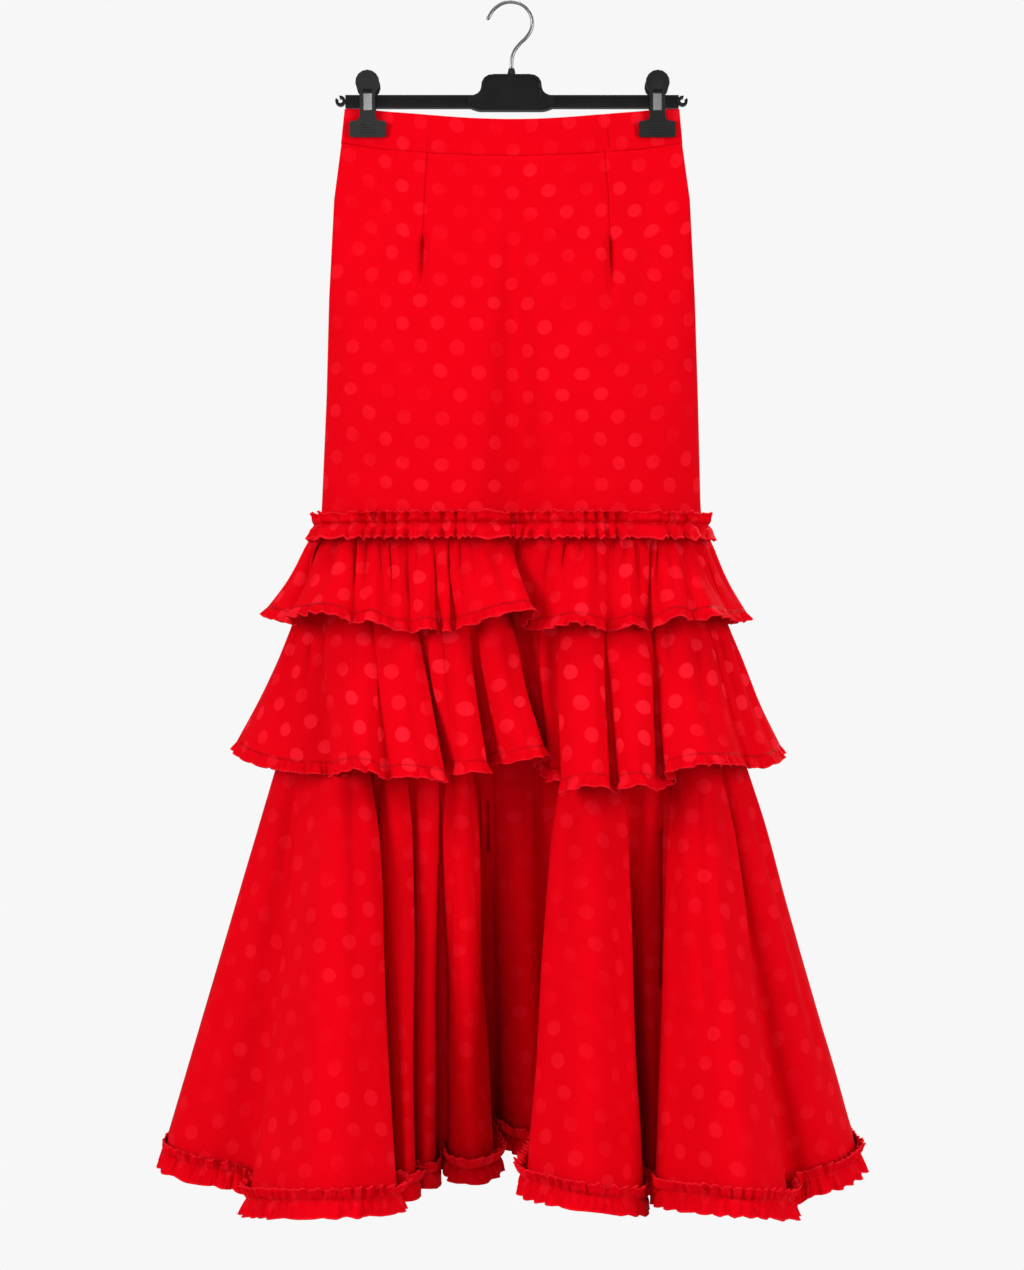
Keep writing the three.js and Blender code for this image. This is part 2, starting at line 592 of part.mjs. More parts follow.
function makeHeading(side, under) {
  const facing = side === 'front' ? FRONT : BACK;
  const places = placesAcross(HEADING.gathers * 2, []);
  const ring = places.map((p) => {
    const row = hipAt(HEADING.seam);
    const x = mix(row.left - HEADING.stand, row.right + HEADING.stand, (p + 1) / 2);
    const depth = Math.abs(p) === 1 ? 0 : hipDepth(x, HEADING.seam, facing, HEADING.stand);
    return new THREE.Vector3(x, facing * (SEAM / 2 + depth), HEADING.seam);
  });
  const curve = new THREE.CatmullRomCurve3(ring, false, 'centripetal');
  const steps = stepsAlong(curve.getSpacedPoints(HEADING.gathers * 2), 100, facing);
  const strip = [
    { rise: HEADING.up, flare: HEADING.flare * 0.5 },
    { rise: 0, flare: 0 },
    { rise: -HEADING.down, flare: HEADING.flare },
  ];
  const grid = strip.map(({ rise, flare }) => {
    const row = steps.map(({ point, out }, i) => {
      const atSide = i === 0 || i === steps.length - 1;
      const wave = atSide ? 0 : (i % 2 ? 1 : -1) * (flare ? HEADING.wave : 0.7);
      const lift = (i % 2 ? 0.6 : -0.6) * Math.sign(rise);
      const moved = point.clone().addScaledVector(out, flare * (atSide ? HEADING.atSides : 1) + wave);
      moved.z += rise + lift;
      return moved;
    });
    return row;
  });
  hangOver(grid.slice(-1), facing, under, 200);
  clothWall(`heading_frill_${side}`, grid, facing);
}

function makeRuche(side, grid) {
  const facing = side === 'front' ? FRONT : BACK;
  const above = grid[grid.length - 2];
  const hem = grid[grid.length - 1];
  const atRise = (rise) => hem.map((point, i) => {
    const down = above[i].clone().sub(point);
    return point.clone().addScaledVector(down, rise / down.z);
  });
  const least = CLOTH + SEAM * 2;
  const strip = [
    { rise: RUCHE.rise + RUCHE.up, flare: RUCHE.flare, wave: RUCHE.wave * 0.6 },
    { rise: RUCHE.rise, flare: 0, wave: 0.5 },
    { rise: RUCHE.rise - RUCHE.down, flare: RUCHE.flare, wave: RUCHE.wave },
  ];
  const counted = stepsAlong(hem, RUCHE.pitch / 2, facing);
  const ruche = strip.map(({ rise, flare, wave }) => {
    const base = atRise(rise);
    const spots = counted.map((step) => spotOn(hem, base, step.point));
    return spots.map((point, i) => {
      const { out, room, corner } = counted[i];
      const wanted = least + flare + (i % 2 ? wave : 0);
      const reach = Math.max(least * corner, Math.min(wanted, (room - CLOTH) / 2 - RUCHE.apart));
      return point.addScaledVector(out, reach);
    });
  });
  clothWall(`hem_ruche_${side}`, ruche, facing);
}

// The place on row `to` that answers to a point lying on row `from`.
function spotOn(from, to, point) {
  let best = null;
  for (let i = 0; i < from.length - 1; i++) {
    const side = from[i + 1].clone().sub(from[i]);
    const t = clamp01(point.clone().sub(from[i]).dot(side) / side.lengthSq());
    const away = from[i].clone().addScaledVector(side, t).distanceTo(point);
    if (!best || away < best.away - 1e-6) {
      best = { away, place: to[i].clone().lerp(to[i + 1], t) };
    }
  }
  return best.place;
}

for (const side of ['front', 'back']) {
  const tier3 = makeFlounce('tier_3_flounce', TIER_3, side, null);
  const tier2 = makeFlounce('tier_2_flounce', TIER_2, side, tier3);
  const tier1 = makeFlounce('tier_1_flounce', TIER_1, side, tier2);
  makeHeading(side, tier1);
  makeRuche(side, tier3);
}

// ---------------------------------------------------------------- the hanger

function solidOf(geometry) {
  const plain = geometry.index ? geometry.toNonIndexed() : geometry.clone();
  plain.deleteAttribute('normal');
  plain.deleteAttribute('uv');
  const merged = mergeVertices(plain, 1e-4);
  const vertProperties = new Float32Array(merged.attributes.position.array);
  const triVerts = new Uint32Array(merged.index.array);
  return new wasm.Manifold(new wasm.Mesh({ numProp: 3, vertProperties, triVerts }));
}

function geometryOf(solid) {
  const mesh = solid.getMesh();
  const geometry = new THREE.BufferGeometry();
  const points = [];
  for (let i = 0; i < mesh.numVert; i++) {
    points.push(...mesh.vertProperties.slice(i * mesh.numProp, i * mesh.numProp + 3));
  }
  geometry.setAttribute('position', new THREE.Float32BufferAttribute(points, 3));
  geometry.setIndex(Array.from(mesh.triVerts));
  return geometry;
}

// A flat outline in x and z, given a thickness in y about the plane y = middle.
function slab(shape, thick, middle = 0, curveSegments = 8) {
  const geometry = new THREE.ExtrudeGeometry(shape, { depth: thick, bevelEnabled: false, curveSegments });
  geometry.rotateX(Math.PI / 2);
  geometry.translate(0, middle + thick / 2, 0);
  return geometry;
}

function barSolid() {
  const h = BAR.height / 2;
  const t = BAR.thick / 2;
  const w = BAR.web / 2;
  const section = new THREE.Shape([
    [-t, -h], [t, -h], [t, -h + BAR.rim], [w, -h + BAR.rim], [w, h - BAR.rim], [t, h - BAR.rim],
    [t, h], [-t, h], [-t, h - BAR.rim], [-w, h - BAR.rim], [-w, -h + BAR.rim], [-t, -h + BAR.rim],
  ].map(([x, y]) => new THREE.Vector2(x, y)));
  const length = BAR.right - BAR.left;
  const geometry = new THREE.ExtrudeGeometry(section, { depth: length, bevelEnabled: false });
  geometry.rotateX(Math.PI / 2);
  geometry.rotateZ(Math.PI / 2);
  geometry.translate(BAR.left, 0, BAR.top - h);
  return solidOf(geometry);
}

// Strap notch: an open ring at the end of the bar, its mouth up and out.
function notchSolid(side) {
  const middle = BAR.top - BAR.height / 2 + 0.8;
  const x = side * NOTCH.x;
  const ring = new THREE.Shape();
  const mouthAngle = side > 0 ? Math.PI * 0.3 : Math.PI * 0.7;
  const halfMouth = Math.asin(NOTCH.mouth / 2 / NOTCH.radius) + 0.14;
  const from = mouthAngle + halfMouth;
  const to = mouthAngle - halfMouth + Math.PI * 2;
  ring.absarc(x, middle, NOTCH.radius, from, to, false);
  ring.absarc(x, middle, NOTCH.bore, to, from, true);
  ring.closePath();
  return solidOf(slab(ring, BAR.thick * 0.8, 0, 6));
}

function plateSolid() {
  const half = PLATE.width / 2;
  const wide = PLATE.flare / 2;
  const low = BAR.top - BAR.height;
  const corner = PLATE.corner;
  const shape = new THREE.Shape();
  shape.moveTo(-wide, low + 1);
  shape.lineTo(-wide, BAR.top - 1);
  shape.quadraticCurveTo(-half - 1, BAR.top, -half, BAR.top + 7);
  shape.quadraticCurveTo(-half, PLATE.top, -half + corner, PLATE.top);
  shape.lineTo(half - corner, PLATE.top);
  shape.quadraticCurveTo(half, PLATE.top, half, BAR.top + 7);
  shape.quadraticCurveTo(half + 1, BAR.top, wide, BAR.top - 1);
  shape.lineTo(wide, low + 1);
  shape.quadraticCurveTo(half + 4, PLATE.low, half, PLATE.low);
  shape.lineTo(-half, PLATE.low);
  shape.quadraticCurveTo(-half - 4, PLATE.low, -wide, low + 1);
  return solidOf(slab(shape, PLATE.thick, 0, 4));
}

// Shallow recess on each face of the centre plate, with a round boss at its top.
function plateRecess(face) {
  const { half, top, bottom, round, foot } = RECESS;
  const shape = new THREE.Shape();
  shape.moveTo(-half + foot, bottom);
  shape.lineTo(half - foot, bottom);
  shape.quadraticCurveTo(half, bottom, half, bottom + foot);
  shape.lineTo(half, top - round);
  shape.quadraticCurveTo(half, top, half - round, top);
  shape.lineTo(-half + round, top);
  shape.quadraticCurveTo(-half, top, -half, top - round);
  shape.lineTo(-half, bottom + foot);
  shape.quadraticCurveTo(-half, bottom, -half + foot, bottom);
  return solidOf(slab(shape, RECESS.deep * 2, (face * PLATE.thick) / 2, 3));
}

function turned(profile, sides) {
  const geometry = new THREE.LatheGeometry(profile.map(([r, z]) => new THREE.Vector2(r, z)), sides);
  geometry.rotateX(Math.PI / 2);
  return geometry;
}

function makeHangerBar() {
  let solid = barSolid();
  solid = solid.add(notchSolid(-1));
  solid = solid.add(notchSolid(1));
  solid = solid.add(plateSolid());
  solid = solid.subtract(plateRecess(-1));
  solid = solid.subtract(plateRecess(1));
  const { radius, half } = BOSS;
  const boss = turned([[0, -half], [radius, -half], [radius, half], [0, half]], 16);
  boss.rotateX(Math.PI / 2);
  boss.translate(0, 0, BOSS.z);
  solid = solid.add(solidOf(boss));
  const { bottom, collar, top } = FERRULE;
  const ferrule = turned(
    [[0, bottom], [FERRULE.radius, bottom], [FERRULE.radius, collar], [FERRULE.topRadius, top], [0, top]],
    16,
  );
  solid = solid.add(solidOf(ferrule));
  const bore = WIRE.radius + SEAM;
  const floor = top - WIRE.socket;
  const socket = turned([[0, floor], [bore, floor], [bore, top + 1], [0, top + 1]], 16);
  solid = solid.subtract(solidOf(socket));
  addMesh('hanger_bar', geometryOf(solid), plasticFinish);
}

// Hook: straight up from the ferrule, a bend to the right, then an open round hook to a low tip.
function makeHook() {
  const rise = new THREE.Vector3(0, 0, FERRULE.top - WIRE.socket + SEAM);
  const route = [
    [0, -62], [0.6, -54], [3.2, -47], [8.5, -40], [15, -33.5], [19.6, -26], [20.8, -18.5],
    [18.5, -9.5], [11.5, -1.6], [0.5, 1.75], [-9.5, 0.1], [-18.2, -6.4], [-23.5, -14.8],
  ].map(([x, z]) => new THREE.Vector3(x, 0, z));
  const path = new THREE.CatmullRomCurve3([rise, ...route], false, 'centripetal');
  const section = new THREE.Shape();
  section.absarc(0, 0, WIRE.radius, 0, Math.PI * 2, false);
  const tube = new THREE.ExtrudeGeometry(section, { steps: 32, extrudePath: path, curveSegments: 5 });
  addMesh('hook_wire', geometryOf(solidOf(tube)), steelFinish);
}

// One half of a clip: round thumb pad, slotted neck and toothed jaw, leaning in to the cloth.
function clipHalf(centre, facing) {
  const shape = new THREE.Shape();
  const jawLow = JAW.top - JAW.height;
  const halfJaw = JAW.width / 2;
  const halfNeck = JAW.neck / 2;
  const headJoin = Math.asin((halfNeck - 0.6) / JAW.head);
  shape.moveTo(-halfJaw + JAW_CORNER, jawLow);
  shape.lineTo(halfJaw - JAW_CORNER, jawLow);
  shape.quadraticCurveTo(halfJaw, jawLow, halfJaw, jawLow + JAW_CORNER);
  shape.lineTo(halfJaw, JAW.top - JAW_CORNER);
  shape.quadraticCurveTo(halfJaw, JAW.top, halfJaw - JAW_CORNER, JAW.top);
  shape.quadraticCurveTo(halfNeck, JAW.top, halfNeck, JAW.top + 2 * JAW_CORNER);
  shape.absarc(0, JAW.headZ, JAW.head, -Math.PI / 2 + headJoin, Math.PI * 1.5 - headJoin, false);
  shape.lineTo(-halfNeck, JAW.top + 2 * JAW_CORNER);
  shape.quadraticCurveTo(-halfNeck, JAW.top, -halfJaw + JAW_CORNER, JAW.top);
  shape.quadraticCurveTo(-halfJaw, JAW.top, -halfJaw, JAW.top - JAW_CORNER);
  shape.lineTo(-halfJaw, jawLow + JAW_CORNER);
  shape.quadraticCurveTo(-halfJaw, jawLow, -halfJaw + JAW_CORNER, jawLow);
  const slot = new THREE.Path();
  slot.moveTo(-SLOT.half, SLOT.bottom);
  slot.lineTo(SLOT.half, SLOT.bottom);
  slot.lineTo(SLOT.half, SLOT.top);
  slot.lineTo(-SLOT.half, SLOT.top);
  shape.holes.push(slot);
  const geometry = slab(shape, JAW.thick, 0, 6);
  const inner = SEAM / 2 + PINCH + CLOTH / 2 + SEAM;
  const pivotZ = JAW.top - JAW.height / 2;
  geometry.translate(0, 0, -pivotZ);
  geometry.rotateX(facing * -JAW.lean);
  geometry.translate(centre, facing * (inner + JAW.thick / 2 + 1), pivotZ);
  return geometry;
}

// Sprung steel strip over the bar, its legs lying along the two halves of the clip.
function clipSpring(centre) {
  const top = BAR.top + SEAM;
  const { outerTop, outerLow, low, strip, width } = SPRING;
  const section = new THREE.Shape([
    [-outerLow, low], [-outerLow + strip, low], [-outerTop + strip, top], [outerTop - strip, top],
    [outerLow - strip, low], [outerLow, low], [outerTop, top + strip], [-outerTop, top + strip],
  ].map(([y, z]) => new THREE.Vector2(y, z)));
  const geometry = new THREE.ExtrudeGeometry(section, { depth: width, bevelEnabled: false });
  geometry.rotateX(Math.PI / 2);
  geometry.rotateZ(Math.PI / 2);
  geometry.translate(centre - width / 2, 0, 0);
  return geometry;
}

makeHangerBar();
makeHook();
['left', 'right'].forEach((side, n) => {
  const centre = CLIP_X[n];
  addMesh(`clip_${side}_front`, clipHalf(centre, FRONT), plasticFinish);
  addMesh(`clip_${side}_back`, clipHalf(centre, BACK), plasticFinish);
  addMesh(`clip_${side}_spring`, clipSpring(centre), steelFinish);
});

export default skirt;
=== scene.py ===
import math

import bpy
import numpy as np
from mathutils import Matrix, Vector


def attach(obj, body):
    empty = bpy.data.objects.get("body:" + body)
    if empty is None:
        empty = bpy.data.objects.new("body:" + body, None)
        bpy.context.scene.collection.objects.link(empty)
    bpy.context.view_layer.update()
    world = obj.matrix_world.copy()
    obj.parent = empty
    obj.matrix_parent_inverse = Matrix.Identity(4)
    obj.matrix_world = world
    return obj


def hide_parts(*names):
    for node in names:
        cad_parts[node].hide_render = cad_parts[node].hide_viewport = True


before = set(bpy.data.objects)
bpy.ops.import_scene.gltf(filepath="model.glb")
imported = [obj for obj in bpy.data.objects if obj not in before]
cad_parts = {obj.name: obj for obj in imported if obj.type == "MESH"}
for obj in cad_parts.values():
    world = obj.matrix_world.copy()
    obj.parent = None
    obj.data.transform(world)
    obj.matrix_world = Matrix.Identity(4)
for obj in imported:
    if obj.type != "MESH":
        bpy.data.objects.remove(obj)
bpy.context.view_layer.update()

# ------------------------------------------------------------------ hip panels
# The fitted part of the skirt: one front panel with two released dart tucks, and two back panels that meet
# at a hidden zip. Matt red stretch crepe printed with tone-on-tone dots, sewn at the side seams.

MM = 0.001
FRONT = -1
BACK = 1
SEAM = 0.3
BAND = {"top": -105.6, "top_sag": 14, "bottom": -139.8, "bottom_sag": 16.6}
PANEL_BOTTOM = -682
CLIP_X = (-143.5, 145.5)
PINCH = 1.35
GRIP = 22
CLOTH_THICK = 0.8  # what one layer of the crepe and its seam allowance come to
SEAM_CLOSED = 0.01  # how far the front and back halves of the cloth stay apart at the side seams
ROLLED = {"near": 1.0, "thick": 1.4}  # a rolled edge: how close to the edge it starts, and its thickness
TUCK_PLACES = (-0.49, 0.54)
TUCK = {"release": -228, "opening": 18, "open": -254, "end": -312, "pinned": 1.3, "deep": 8.5}
TUCK_WIDTH = {"pinned": 1.1, "open": 4.2}
TROUGH = {"x": 3, "top": -176, "bottom": -690, "depth": 34, "narrow": 9, "wide": 36, "behind": 0.35}
CENTRE_X = 0.5
HALF = {"waist": 168, "tucks": 180, "zip": 188}  # half widths that turn millimetres across into places
DOT = {"across": 37.0, "rows": 23.3, "size": 14.0, "drift": 16, "blur": 0.8}


def table(names, rows):
    """Rows of a table as dicts, with the columns named in one string."""
    return [dict(zip(names.split(), row)) for row in rows]


# Sections from the waist down: side seams, depth of front and back, and how far the section is rounded.
HIP = table(
    "z left right front back round",
    [
        (-104, -166, 167, 17, 17, 0),
        (-142, -170, 170.5, 20, 21, 0),
        (-196, -177, 178, 29, 32, 0.3),
        (-296, -182, 183, 48, 54, 0.75),
        (-396, -184.5, 186, 61, 68, 1),
        (-500, -189, 188.5, 67, 76, 1),
        (-600, -195, 195, 70, 80, 1),
        (-690, -207, 207, 73, 84, 1),
    ],
)


def mix(a, b, t):
    return a + (b - a) * t


def smooth(a, b, t):
    q = np.clip((t - a) / (b - a), 0, 1)
    return q * q * (3 - 2 * q)


def hip_at(z):
    """Side seams and depths of the hips at height z."""
    down = [-row["z"] for row in HIP]
    return {key: np.interp(-np.asarray(z, float), down, [row[key] for row in HIP]) for key in HIP[0]}


def tuck_depth(x, z, row):
    """Depth of the two dart tucks: a pinned line, then a soft wedge where the cloth is released."""
    below = smooth(TUCK["release"], TUCK["release"] - TUCK["opening"], z)
    opened = below * (1 - smooth(TUCK["open"], TUCK["end"], z))
    pinned = TUCK["pinned"] * (1 - below)
    width = mix(TUCK_WIDTH["pinned"], TUCK_WIDTH["open"], below)
    depth = 0
    for tuck in TUCK_PLACES:
        middle = mix(row["left"], row["right"], (tuck + 1) / 2)
        near = np.exp(-(((x - middle) / width) ** 2))
        depth = depth + near * np.maximum(pinned, TUCK["deep"] * opened)
    return depth


def sunk(x, z, facing, row):
    """What is sunk into the hips: the trough between the clips and, at the front, the tucks."""
    down = np.clip((TROUGH["top"] - z) / (TROUGH["top"] - TROUGH["bottom"]), 0, 1)
    width = mix(TROUGH["narrow"], TROUGH["wide"], down)
    trough = TROUGH["depth"] * down * np.exp(-(((x - TROUGH["x"]) / width) ** 2))
    if facing == BACK:
        return trough * TROUGH["behind"]
    return trough + tuck_depth(x, z, row)


def hip_depth(x, z, facing, out=0.0):
    """Depth of the hips from the plane of the side seams; out makes the section that much bigger."""
    row = hip_at(z)
    left = row["left"] - out
    right = row["right"] + out
    place = np.clip((x - left) / (right - left), 0, 1) * 2 - 1
    full = row["front" if facing == FRONT else "back"] + out
    oval = np.sqrt(np.maximum(0, 1 - place**2))
    to_clip = np.where(
        place < 0, (CLIP_X[0] + GRIP) / HIP[0]["left"], (CLIP_X[1] - GRIP) / HIP[0]["right"]
    )
    lens = 1 - (place / to_clip) ** 2
    lens = (lens + np.sqrt(lens**2 + 0.006)) / 2 * (1 - np.abs(place) ** 12)
    edge = np.clip(np.minimum(x - left, right - x) / (PINCH * 1.2), 0, 1)
    fold = (PINCH + out * (1 - row["round"])) * np.sqrt(1 - (1 - edge) ** 2)
    return fold + full * mix(lens, oval, row["round"]) * 0.98 - sunk(x, z, facing, row)


def hip_points(place, z, facing):
    """Points of the hip cloth at places across (-1 to 1) and heights."""
    row = hip_at(z)
    x = mix(row["left"], row["right"], (place + 1) / 2)
    depth = np.where(np.abs(place) >= 1, 0, hip_depth(x, z, facing))
    return np.stack([x, facing * (SEAM / 2 + depth), z + 0 * x], axis=-1)


def band_top(place):
    return BAND["top"] - BAND["top_sag"] * (1 - place**2) ** 2


def band_bottom(place):
    return BAND["bottom"] - BAND["bottom_sag"] * (1 - place**2) ** 1.25


def normals_of(grid, facing):
    """Outward direction at each point of a grid whose rows run down and columns run left to right."""
    normal = np.cross(np.gradient(grid, axis=1), np.gradient(grid, axis=0)) * facing
    return normal / np.maximum(np.linalg.norm(normal, axis=2, keepdims=True), 1e-9)


def unevenness(across, down, seed, size, amount):
    """Soft random swells of about that wavelength, in millimetres."""
    random = np.random.default_rng(seed)
    total = 0
    for _ in range(7):
        turn = random.uniform(-0.6, 0.6)
        wave = size * random.uniform(0.7, 1.7)
        phase = random.uniform(0, 2 * math.pi)
        total = total + np.sin(2 * math.pi * (across * math.cos(turn) + down * math.sin(turn)) / wave + phase)
    return total * amount / 7**0.5


def crease(across, down, start, end, deep, wide):
    """A soft trough (deep > 0) or ridge (deep < 0) along a line on the cloth that fades at both ends."""
    run = np.array(end, float) - np.array(start, float)
    t = ((across - start[0]) * run[0] + (down - start[1]) * run[1]) / (run @ run)
    held = np.clip(t, 0, 1)
    away = np.hypot(across - start[0] - held * run[0], down - start[1] - held * run[1])
    fade = np.sqrt(np.clip(4 * held * (1 - held), 0, 1))
    return -deep * fade * np.exp(-((away / wide) ** 2))


def flat_places(grid, middle):
    """Each point's place on the flat cloth, in metres: along its row from the middle column, and down."""
    step = np.linalg.norm(np.diff(grid, axis=1), axis=2)
    across = np.concatenate([np.zeros((len(grid), 1)), np.cumsum(step, axis=1)], axis=1)
    across = across - across[:, middle : middle + 1]
    drop = np.linalg.norm(np.diff(grid, axis=0), axis=2).mean(axis=1)
    down = np.concatenate([[0], np.cumsum(drop)])[:, None] - grid[0, :, 2].mean()
    return np.stack([across, -(down + 0 * across)], axis=-1) * MM


def show(name, vertices, faces, material, maps=()):
    """A mesh in the scene from points in millimetres. Each map is its name and a place for every point."""
    mesh = bpy.data.meshes.new(name)
    mesh.from_pydata((np.asarray(vertices) * MM).tolist(), [], faces)
    mesh.polygons.foreach_set("use_smooth", np.full(len(mesh.polygons), True))
    corners = np.empty(len(mesh.loops), dtype=np.int32)
    mesh.loops.foreach_get("vertex_index", corners)
    for layer_name, at in maps:
        layer = mesh.uv_layers.new(name=layer_name)
        layer.data.foreach_set("uv", at[corners].ravel())
    mesh.materials.append(material)
    mesh.update()
    piece = bpy.data.objects.new(name, mesh)
    bpy.context.scene.collection.objects.link(piece)
    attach(piece, "root")
    return piece


def cloth_piece(name, grid, places, facing, material, thick=CLOTH_THICK, edges=None):
    """A thin cloth with two faces and closed edges, on a grid of points, in place of the solid of that name.
    Places are its flat cut; edges are places along a hem and how far they are above it."""
    rows, columns = grid.shape[:2]
    if edges is None:
        edges = places * 0 + 1
    thick = np.broadcast_to(np.asarray(thick, float).reshape(-1, 1, 1), (rows, 1, 1))
    grid = grid.copy()
    normal = normals_of(grid, facing)
    for end, side in ((0, -1), (-1, 1)):
        if abs(grid[0, end, 1]) < 2 * SEAM:
            normal[:, end] = (side, 0, 0)
            grid[:, end, 1] = facing * SEAM_CLOSED
    points = np.concatenate([grid + normal * thick / 2, grid - normal * thick / 2]).reshape(-1, 3)
    j, i = np.mgrid[0 : rows - 1, 0 : columns - 1]
    a = (j * columns + i).ravel()
    outer = np.stack([a, a + 1, a + columns + 1, a + columns], axis=1)
    inner = outer[:, ::-1] + rows * columns
    top = np.arange(columns - 1)
    right = np.arange(rows - 1) * columns + columns - 1
    bottom = (rows - 1) * columns + np.arange(columns - 1, 0, -1)
    left = np.arange(rows - 1, 0, -1) * columns
    loop = np.concatenate([top, right, bottom, left])
    after = np.roll(loop, -1)
    rim = np.stack([after, loop, loop + rows * columns, after + rows * columns], axis=1)
    faces = np.concatenate([outer, inner, rim])
    if facing == FRONT:
        faces = faces[:, ::-1]
    maps = [(key, np.concatenate([at, at]).reshape(-1, 2)) for key, at in (("cut", places), ("hem", edges))]
    piece = show(f"{name}_cloth", points, faces.tolist(), material, maps)
    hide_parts(name)
    return piece


def add_node(tree, kind, settings=None, **sockets):
    """A shader node with values or links for its sockets, named with _ for spaces or numbered as s0, s1."""
    made = tree.nodes.new(f"ShaderNode{kind}")
    for key, value in (settings or {}).items():
        setattr(made, key, value)
    for key, value in sockets.items():
        numbered = key[0] == "s" and key[1:].isdigit()
        socket = made.inputs[int(key[1:]) if numbered else key.replace("_", " ")]
        if isinstance(value, bpy.types.NodeSocket):
            tree.links.new(value, socket)
        else:
            socket.default_value = value
    return made


def noise(tree, place, scale, detail, roughness=0.5):
    made = add_node(tree, "TexNoise", Vector=place, Scale=scale, Detail=detail, Roughness=roughness)
    return made.outputs[0]


def ramp(tree, value, start, end, low=0.0, high=1.0, curve="LINEAR"):
    """Low to high as the value goes from start to end."""
    limits = {"From_Min": start, "From_Max": end, "To_Min": low, "To_Max": high}
    return add_node(tree, "MapRange", {"interpolation_type": curve}, Value=value, **limits).outputs[0]


def blend(tree, share, dark, light):
    """A colour between two colours, by a share from 0 to 1."""
    return add_node(tree, "Mix", {"data_type": "RGBA"}, s0=share, s6=dark, s7=light).outputs[2]


def vector(tree, operation, *values):
    inputs = {f"s{n}": value for n, value in enumerate(values)}
    return add_node(tree, "VectorMath", {"operation": operation}, **inputs)


def bump(tree, height, strength, distance, **under):
    return add_node(tree, "Bump", Strength=strength, Distance=distance, Height=height, **under).outputs[0]


def new_material(name):
    material = bpy.data.materials.new(name)
    material.use_nodes = True
    material.node_tree.nodes.clear()
    return material, material.node_tree


def finish_material(tree, **surface):
    shader = add_node(tree, "BsdfPrincipled", **surface)
    add_node(tree, "OutputMaterial", Surface=shader.outputs[0])


def cloth_colour(tree, place, above_hem, ink_shown):
    """Red ground with its slight mottling, lighter red dots in staggered rows, and a painted highlight of
    paler red along the rolled edges.
    """
    drift = add_node(tree, "TexNoise", Vector=place, Scale=11.0, Detail=0.0).outputs["Color"]
    centred = vector(tree, "SUBTRACT", drift, (0.5, 0.5, 0.5)).outputs[0]
    moved = vector(tree, "MULTIPLY", centred, (DOT["drift"] * MM, DOT["drift"] * MM, 0)).outputs[0]
    uneven = vector(tree, "ADD", place, moved).outputs[0]
    half = (DOT["across"] / 2 * MM, DOT["rows"] * MM, 1)
    back = (-half[0], -half[1], -1)
    shifted = vector(tree, "ADD", uneven, (half[0], half[1], 0)).outputs[0]
    nearest = []
    for at in (uneven, shifted):
        wrapped = vector(tree, "WRAP", at, half, back).outputs[0]
        nearest.append(vector(tree, "LENGTH", wrapped).outputs["Value"])
    away = add_node(tree, "Math", {"operation": "MINIMUM"}, s0=nearest[0], s1=nearest[1]).outputs[0]
    radius = DOT["size"] / 2 * MM
    blur = DOT["blur"] * MM
    dots = ramp(tree, away, radius + blur, radius - blur, curve="SMOOTHSTEP")
    mottle = noise(tree, place, 26.0, 5.0, 0.6)
    yarn = noise(tree, place, 700.0, 2.0)
    ground = blend(tree, mottle, (0.50, 0.0002, 0.0035, 1), (0.57, 0.0004, 0.0050, 1))
    ink = blend(tree, yarn, (0.62, 0.0062, 0.015, 1), (0.68, 0.0095, 0.020, 1))
    worn = ramp(tree, noise(tree, place, 11.0, 3.0), 0.4, 0.6, 0.2 * ink_shown, ink_shown)
    shown = add_node(tree, "Math", {"operation": "MULTIPLY"}, s0=dots, s1=worn).outputs[0]
    # painted highlight: within 1.7 mm of a hem or strip edge the colour is blended up to about half way
    # toward a paler red, standing in for light on the rolled edge
    painted_edge_highlight = ramp(tree, above_hem, 0.0017, 0.0008, 0.0, 0.45)
    return blend(tree, painted_edge_highlight, blend(tree, shown, ground, ink), (0.70, 0.012, 0.024, 1))


def make_cloth(name, ink_shown):
    """Matt stretch crepe, puckered near a hem. ink_shown is how strongly its dots stand off the ground."""
    material, tree = new_material(name)
    place, hem = (add_node(tree, "UVMap", {"uv_map": key}).outputs[0] for key in ("cut", "hem"))
    above_hem = add_node(tree, "SeparateXYZ", Vector=hem).outputs[1]
    crepe = noise(tree, place, 1300.0, 3.0, 0.65)
    handle = noise(tree, place, 90.0, 4.0, 0.55)
    soft = bump(tree, handle, 0.22, 0.0016, Normal=bump(tree, crepe, 0.25, 0.0002))
    drawn = add_node(tree, "Mapping", Vector=hem, Scale=(125, 30, 1)).outputs[0]
    near = ramp(tree, above_hem, 0.0150, 0.0105, curve="SMOOTHSTEP")
    puckers = noise(tree, drawn, 1.0, 2.0)
    raised = add_node(tree, "Math", {"operation": "MULTIPLY"}, s0=puckers, s1=near).outputs[0]
    finish_material(
        tree,
        Base_Color=cloth_colour(tree, place, above_hem, ink_shown),
        Roughness=ramp(tree, crepe, 0.0, 1.0, 0.66, 0.84),
        Normal=bump(tree, raised, 0.8, 0.0072, Normal=soft),
        Specular_IOR_Level=0.05,
        Specular_Tint=(1, 0.1, 0.14, 1),
        Sheen_Weight=0.02,
        Sheen_Roughness=0.4,
        Sheen_Tint=(1, 0.06, 0.1, 1),
    )
    return material


def make_finish(name, dark, light, tone, grain, roughness, relief, rough_from="grain", stretch=1, **surface):
    """A hard finish from two noises (scale, detail): the tone varies its colour, the grain gives its relief.
    Roughness goes from least to most with one of them; relief is its strength and height."""
    material, tree = new_material(name)
    place = add_node(tree, "TexCoord").outputs["Object"]
    drawn = add_node(tree, "Mapping", Vector=place, Scale=(1, 1, stretch)).outputs[0]
    noises = {"tone": noise(tree, place, *tone), "grain": noise(tree, drawn, *grain)}
    finish_material(
        tree,
        Base_Color=blend(tree, noises["tone"], dark, light),
        Roughness=ramp(tree, noises[rough_from], 0.0, 1.0, *roughness),
        Normal=bump(tree, noises["grain"], *relief),
        **surface,
    )
    return material


